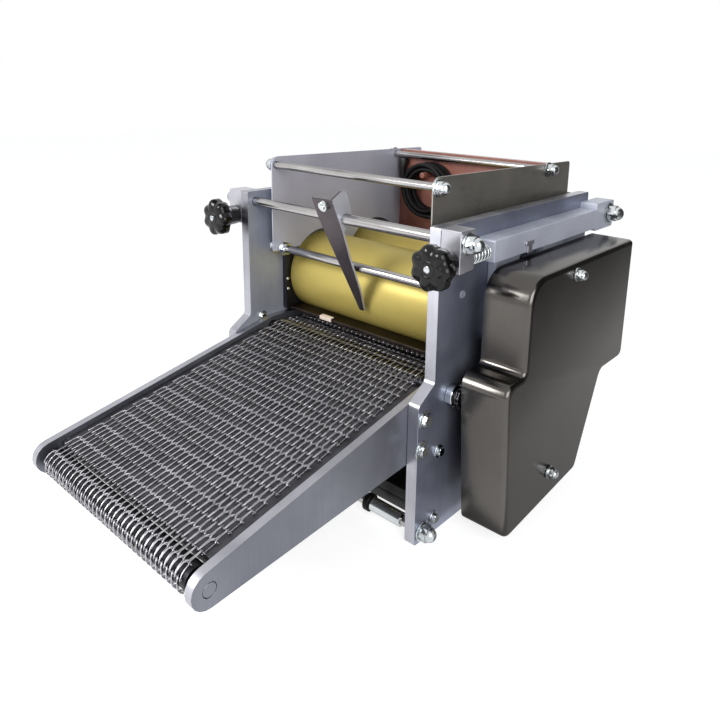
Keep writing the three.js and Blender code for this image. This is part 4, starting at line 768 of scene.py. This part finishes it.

# Dough divider, scraper and cutter
# A dark ground blade whose side flanges are bright, a scraper bar coloured near black as a painted shade of
# the gap under the roller, and the cutting drum of pale nylon, satin with turning marks round it.
blade_steel = drawn_metal("ground_blade_steel", "#524c4f", "#676063", "Z", 0.36, 0.8, 50.0)
flange_steel = drawn_metal("bright_flange_steel", "#b3b4bf", "#cfd0da", "Z", 0.34, 0.8, 50.0, metallic=0.2)
# Painted shade: the scraper's near-black brown stands for the shaded gap it sits in
scraper_painted_shade = drawn_metal("scraper_steel_painted_shade", "#2b2624", "#443c38", "X", 0.4, 0.8, 50.0)
nylon = grained("turned_nylon_drum", (1.6, 30.0, 30.0), "#cdb9ac", "#ecdfd4", (0.38, 0.55), (0.2, 0.08),
                roughness=0.45, ior=1.53)
machined("divider_blade", "divider", "divider", "blade_steel", flange_steel, 0.4, 2, milled=blade_steel)
machined("scraper_bar", "scraper", "carriage", "blade_steel", scraper_painted_shade, 0.3, 1)
machined("cutter_drum", "cutter", "cutter", "cutter_nylon", nylon, 0.0)

# Nut that holds the divider's blade, lying on its slanting face
slant = math.atan2(61.0, 137.0)
blade_face = np.array([[1, 0, 0], [0, -math.cos(slant), -math.sin(slant)],
                       [0, -math.sin(slant), math.cos(slant)]])
blade_nut = turned([[0.0, 6.6], [0.5, 7.3], [4.6, 7.3], [5.2, 6.4], [5.2, 3.9], [6.3, 3.6], [6.3, 0.3]],
                   [0.5, -5.6, 383], "y", 48, [13.0] * 4 + [20.0] * 3, lean=blade_face)
make("divider_blade_nut", [blade_nut], zinc, "divider", "zinc_steel")

# Tab of pale nylon pressed over the scraper's front edge
tab_outline = rounded([[63.4, 195.6], [65.4, 195.4], [65.4, 199.6], [70.5, 200.2], [70.5, 201.6],
                       [63.4, 200.7]], 0.4, 3)
make("scraper_tab", [loft([(-81.0, tab_outline), (-59.0, tab_outline)])], nylon, "carriage", "cutter_nylon")

# Conveyor rails and rollers
# 10 mm aluminium bar rails with round noses, dull grey on the rolled faces and milled along the
# edges; steel nose and tail rollers, a knurled drive roll and a bed of sheet, dark with oil and wear.
rail_skin = drawn_metal("rolled_rail_skin", "#70727c", "#82848d", "Z", 0.36, 0.8, 90.0, 0.008, 0.75)
for label in ("left", "right"):
    machined(f"conveyor_rail_{label}", f"rail_{label}", "frame", "brushed_aluminium", rail_skin,
             milled=milled_edge)
oiled_roll = grained("oiled_roller_steel", (25.0, 6.0, 6.0), "#1d1d1f", "#39393c", (0.28, 0.46),
                     metallic=1.0, roughness=0.36)
machined("tail_roller", "tail_roll", "belt_tail", "zinc_steel", oiled_roll, 0.0)
machined("nose_roller", "nose_roll", "belt_nose", "zinc_steel", oiled_roll, 0.0)
machined("conveyor_drive_shaft", "drive_roll", "conveyor_drive", "zinc_steel", oiled_roll, 0.3, 1)
bed_steel = grained("oiled_bed_steel", 20.0, "#46464a", "#5c5c61", metallic=1.0, roughness=0.5)
machined("belt_bed", "bed", "frame", "stainless_sheet", bed_steel, 0.0)

# The three rolls that carry the belt, each as (y, z) and radius
nose_roll, tail_roll, drive_roll = np.array([[-298, 103, 13], [84, 168, 12], [33, 174, 10]], float)

# Discs pressed into the rails' nose bores, over the ends of the roller's pins
nose_discs = both_sides([[158.75, 0.3], [158.75, 6.9], [159.3, 6.9], [159.55, 6.6], [159.55, 0.3]],
                        [0, *nose_roll[:2]])
make("nose_bore_discs", nose_discs, rail_skin, "frame", "brushed_aluminium")

# Folded lip at the front of the bed, dropping behind the nose roller: its outline is drawn along
# and above the belt's run, the tangent from the nose roll to the drive roll
reach_y, reach_z, wider = drive_roll - nose_roll
run_heading = math.atan2(reach_z, reach_y) + math.asin(wider / math.hypot(reach_y, reach_z))
run_along = np.array([math.cos(run_heading), math.sin(run_heading)])
run_over = np.array([-run_along[1], run_along[0]])
run_start = nose_roll[:2] + nose_roll[2] * run_over
lip_outline = rounded([[20.5, -0.5], [15.2, -0.5], [15.2, -15], [16.4, -15], [16.4, -1.7], [20.5, -1.7]],
                      0.4, 3)
lip_ring = run_start + lip_outline[:, :1] * run_along + lip_outline[:, 1:] * run_over
bed_half_width = 149.2
make("bed_nose_lip", [loft([(-bed_half_width, lip_ring), (bed_half_width, lip_ring)])], bed_steel, "frame",
     "stainless_sheet")

# Wire belt
# Balanced weave of flattened spirals of 1.2 mm stainless wire, right and left hand in turn, each
# locked to the next by a cross wire, in one endless band round the nose, tail and drive rolls.


def wrap(circles, offset):
    """Closed line round circles visited counterclockwise: arcs of radius r + offset joined by their
    tangents, whose normals stand at heading - acos((r1 - r2) / distance)."""
    following = np.roll(circles, -1, axis=0)
    gap = following[:, :2] - circles[:, :2]
    distance = np.linalg.norm(gap, axis=1)
    leave = np.arctan2(gap[:, 1], gap[:, 0]) - np.arccos((circles[:, 2] - following[:, 2]) / distance)
    arcs = []
    for i, (y, z, radius) in enumerate(circles):
        start = leave[i - 1]
        angles = start + np.linspace(0, (leave[i] - start) % (2 * np.pi), 40)
        cosine, sine = np.cos(angles), np.sin(angles)
        arcs.append(np.stack([y + (radius + offset) * cosine, z + (radius + offset) * sine, cosine, sine],
                             axis=1))
    line = np.vstack(arcs + [arcs[0][:1]])
    run = np.concatenate([[0], np.cumsum(np.linalg.norm(np.diff(line[:, :2], axis=0), axis=1))])
    return run, line


def along_loop(run, line, s):
    """Point and outward normal at distance s along a closed loop."""
    s = np.mod(s, run[-1])
    values = [np.interp(s, run, line[:, i]) for i in range(4)]
    length = np.hypot(values[2], values[3])
    return values[0], values[1], values[2] / length, values[3] / length


wire_radius, turn_pitch, turns, row_spacing, belt_middle = 0.62, 8.53, 32, 14.7, 2.15
belt_run, belt_line = wrap(np.array([nose_roll, tail_roll, drive_roll]), belt_middle)
row_count = int(round(belt_run[-1] / row_spacing / 2)) * 2
row_pitch = belt_run[-1] / row_count


def spiral_rows(rows, steps, sides):
    """Flattened spirals, of the other hand in every second row: travel offset 9.3 cos, thickness
    offset 1.35 sin cut flat at 1, and across one pitch a turn plus 0.075 sin(2 angle) of a pitch,
    which steepens the strands; the whole is laid on the loop."""
    spin = np.linspace(0, turns * 2 * np.pi, turns * steps + 1)
    hand = np.where(rows % 2 == 0, 1.0, -1.0)[:, None]
    x = hand * (spin / (2 * np.pi) + 0.075 * np.sin(2 * spin) - turns / 2)[None, :] * turn_pitch
    s = (rows[:, None] + 0.5) * row_pitch + 9.3 * np.cos(spin)[None, :]
    lift = 1.42 * np.clip(1.35 * np.sin(spin), -1, 1)[None, :]
    y, z, ny, nz = along_loop(belt_run, belt_line, s)
    path = np.stack([x, y + ny * lift, z + nz * lift], axis=-1)
    tangent = np.gradient(path, axis=1)
    tangent /= np.linalg.norm(tangent, axis=-1, keepdims=True)
    across = np.array([1.0, 0, 0]) - tangent * tangent[..., :1]
    across /= np.linalg.norm(across, axis=-1, keepdims=True)
    other = np.cross(tangent, across)
    angle = np.linspace(0, 2 * np.pi, sides, endpoint=False) + np.pi / 2
    rings = path[:, :, None] + wire_radius * (
        np.cos(angle)[:, None] * across[:, :, None] + np.sin(angle)[:, None] * other[:, :, None])
    return [skin(row) for row in rings]


# Drawn spiral wire glints; the straight cross wires between the spirals are duller, and painted darker as a
# painted shade where they lie inside the spirals
wire_steel = grained("drawn_stainless_wire", 9.0, "#9e9da2", "#cdccd1", (0.24, 0.38), detail=2.0,
                     metallic=1.0, roughness=0.3)
cross_wire_shaded = grained("cross_wire_painted_shade", (12.0, 4.0, 4.0), "#6c6b70", "#939297", detail=2.0, metallic=1.0,
                    roughness=0.42)
_, _, facing_front, facing_up = along_loop(belt_run, belt_line, (np.arange(row_count) + 0.5) * row_pitch)
on_top = (facing_up > 0.35) | (facing_front < -0.2)
for name, rows, sides in (("woven_belt_top", np.flatnonzero(on_top), 5),
                          ("woven_belt_underside", np.flatnonzero(~on_top), 4)):
    make(name, spiral_rows(rows, 12, sides), wire_steel, "frame", "wire_steel", "mesh_belt", smooth=180)
cross_wires = []
for s in np.arange(row_count) * row_pitch:
    y, z, _, _ = along_loop(belt_run, belt_line, s)
    cross_wires.append(turned([[-138.4, wire_radius], [138.4, wire_radius]], [0, y, z], "x", 8))
make("belt_cross_wires", cross_wires, cross_wire_shaded, "frame", "wire_steel", smooth=180)

# Chains
# Roller chain: figure-of-eight link plates in pairs on pins and rollers, in the gears' oiled steel.


def link_outline(pitch, height, count=9):
    """Half circles of height / 2 round both pins with a waist between them."""
    angle = np.linspace(-np.pi / 2, np.pi / 2, count)
    right_end = np.stack([pitch / 2 + height / 2 * np.cos(angle), height / 2 * np.sin(angle)], axis=1)
    waist = np.array([[0, height * 0.36]])
    return np.vstack([right_end, waist, -right_end, -waist])


def chain(circles, pitch, x, inner_half, plate, height, roller):
    """Links set at equal distances along the pitch line; odd links carry the outer plates."""
    run, line = wrap(np.array(circles, float), 0.0)
    count = int(round(run[-1] / pitch / 2)) * 2
    spacing = run[-1] / count
    pin, half = roller * 0.33, inner_half + 2 * plate + 0.2
    pin_profile = [[-half, pin], [-inner_half, pin], [-inner_half, roller / 2], [inner_half, roller / 2],
                   [inner_half, pin], [half, pin]]
    parts = []
    for k in range(count):
        first = np.array(along_loop(run, line, k * spacing)[:2])
        second = np.array(along_loop(run, line, (k + 1) * spacing)[:2])
        along = second - first
        length = np.hypot(*along)
        along /= length
        over = np.array([-along[1], along[0]])
        shape = link_outline(length, height)
        ring = (first + second) / 2 + shape[:, :1] * along + shape[:, 1:] * over
        step = inner_half + (plate if k % 2 else 0)
        for way in (-1, 1):
            parts.append(loft([(x + way * (step + t), ring) for t in (0.05, plate)]))
        parts.append(turned(pin_profile, [x, *first], "x", 10))
    return parts


def pitch_radius(teeth, pitch):
    """Radius through the pin centres: pitch / (2 sin(pi / teeth))."""
    return pitch / 2 / math.sin(math.pi / teeth)


motor_y, motor_z = 170, 75
main_pitch, belt_pitch = 9.525, 6.35
main_loop = [[motor_y, motor_z, pitch_radius(16, main_pitch)],
             [rear_roller_y, roller_z, pitch_radius(32, main_pitch)]]
belt_loop = [[*drive_roll[:2], pitch_radius(10, belt_pitch)],
             [motor_y, motor_z, pitch_radius(24, belt_pitch)]]
make("main_roller_chain", chain(main_loop, main_pitch, 224, 1.9, 0.9, 7.9, 5.6), gear_steel, "frame",
     "gear_steel", "main_chain", smooth=40)
make("belt_roller_chain", chain(belt_loop, belt_pitch, 191, 1.1, 0.6, 5.8, 3.3), gear_steel, "frame",
     "gear_steel", "conveyor_chain", smooth=40)

# Gearmotor
# Cast aluminium gear head on the right plate and a finned motor behind it, in a grey enamel that
# shows the casting's grain.
enamel = grained("grey_motor_enamel", 3.0, "#23262a", "#303439", (0.34, 0.52), (0.3, 0.2), 4.0,
                 roughness=0.42)
machined("gear_head", "gear_head_case", "frame", "motor_paint", enamel, 1.2)
motor_start, motor_end, fin_count, fin_pitch = -26.6, 101.4, 11, 8.2
fins = [[motor_start, 6], [motor_start, 34], [motor_start + 1.5, 39], [motor_start + 5, 42.5],
        [motor_start + 20, 43]]
for k in range(fin_count):
    x = motor_start + 22 + k * fin_pitch
    fins += [[x, 39.0], [x + 4.6, 39.0], [x + 4.9, 42.6], [x + 7.9, 42.6]]
fins += [[motor_end - 9, 43], [motor_end - 0.6, 43], [motor_end, 42.4], [motor_end, 6]]
make("finned_motor", [turned(fins, [0, motor_y, motor_z], "x", 72)], enamel, "frame", "motor_paint",
     "motor", smooth=40)

# Rear panel and switch
# Sheet steel panel between the plates, folded forward at the foot into a pan under the motor, coloured near
# black with a fine orange peel as a painted shade of the enclosed inside, held by six screws, with a rocker
# switch.
black_painted_shade = grained("black_panel_painted_shade", 2.0, "#0d0d0e", "#161618", (0.36, 0.5), (0.2, 0.05), 2.0,
                       roughness=0.42)
machined("rear_panel", "rear_cover", "frame", "stainless_sheet", black_painted_shade, 0.3, 1)
screw_head = [[343.0, 3.6], [343.8, 3.5], [344.9, 2.6], [345.3, 1.2], [344.5, 1.0], [344.5, 0.2]]
panel_screws = [turned(screw_head, [x, 0, z], "y", 28) for x in (-150, 0, 150) for z in (34, 272)]
make("rear_panel_screws", panel_screws, zinc, "frame", "zinc_steel")
skirt_outline = rounded([[7.7, 8], [9.2, 8], [9.2, 20.2], [30, 20.2], [30, 21.7], [7.7, 21.7]], 0.6, 3)
make("pan_skirt", [loft([(-159, skirt_outline), (159, skirt_outline)])], black_painted_shade, "frame",
     "stainless_sheet")
machined("switch_rocker", "rocker", "switch", "black_plastic", gland_nylon, 0.4)

# Fasteners
# Zinc plated hexagon bolts with washers on the plates, and countersunk screws on the bearing blocks.


def hex_bolt(x, y, z, across, facing):
    """A washer and a chamfered hexagon head lying on a face at x and facing out from it."""
    corner = across / 2 / math.cos(math.pi / 6)
    washer = [[0.05, across * 0.80], [0.2, across * 0.82], [1.4, across * 0.82], [1.6, across * 0.8]]
    head = [[1.6, across / 2 * 0.96], [2.1, across / 2], [2.2, corner], [1.6 + across * 0.34, corner],
            [1.6 + across * 0.42, across / 2 * 0.98], [1.6 + across * 0.42, 0.4]]
    return [turned(washer, [x, y, z], "x", 36, None, facing),
            turned(head, [x, y, z], "x", 48, across, facing)]


bolts = []
for y, z, across in ((-18, 160, 13), (-22, 124, 13), (12, 108, 10), (7, 21, 10), (*tail_roll[:2], 13)):
    for facing in (-1, 1):
        bolts += hex_bolt(plate_outer * facing, y, z, across, facing)
bolts += hex_bolt(-plate_inner, 21, 192, 9, 1)
make("plate_bolts", bolts, zinc, "frame", "zinc_steel")
countersunk = [[151.1, 2.6], [150.2, 2.6], [149.9, 2.2], [149.9, 1.2], [150.6, 1.1], [150.6, 0.2]]
block_screws = both_sides(countersunk, [0, 64, 242], 24) + both_sides(countersunk, [0, 65, 226], 24)
make("bearing_block_screws", block_screws, zinc, "carriage", "zinc_steel")

# Drive shaft collars: a turned ring on each plate, a black dust disc and a small bolt in its middle
drive_axis, disc_face = [0, *drive_roll[:2]], 183.8
collars = both_sides([[175.1, 12.6], [175.6, 13.1], [183.4, 13.1], [184.0, 12.5], [184.0, 8.2],
                      [175.1, 8.2]], drive_axis, 48, closed=True)
for facing in (-1, 1):
    collars += hex_bolt(disc_face * facing, *drive_roll[:2], 6, facing)
discs = both_sides([[182.0, 0.3], [182.0, 8.1], [183.5, 8.1], [disc_face, 7.7], [disc_face, 0.3]], drive_axis)
make("drive_shaft_collars", collars, zinc, "frame", "zinc_steel")
make("drive_dust_discs", discs, gland_nylon, "frame", "black_plastic")

# Spacer sleeve on the front base rod, with a black rubber buffer beside it
base_axis = [0, base_rod_y, base_rod_z]
sleeve = turned([[98, 6.4], [98, 8.2], [98.6, 8.8], [145.4, 8.8], [146, 8.2], [146, 6.4]], base_axis, "x", 40)
make("base_rod_sleeve", [sleeve], zinc, "frame", "zinc_steel")
buffer = turned([[88, 6.3], [88, 10.2], [89, 11.2], [95.6, 11.2], [96.6, 10.2], [96.6, 6.3]], base_axis,
                "x", 40)
make("base_rod_buffer", [buffer], cord_rubber, "frame", "black_plastic")

# Clip plate on the right front arm: a T of aluminium sheet with its outer edge broken
clip_outline = [[144, 331], [155, 331], [155, 341], [159, 341], [159, 347], [140, 347], [140, 341],
                [144, 341]]
clip_radii = np.array([1.5, 1.5, 1, 1.5, 1.5, 1.5, 1.5, 1])
clip = loft([(x, inset_outline(clip_outline, clip_radii, inset, 4))
             for x, inset in ((201.4, 0.0), (203.2, 0.0), (203.7, 0.4))])
make("arm_clip_plate", [clip], block_skin, "carriage", "brushed_aluminium")
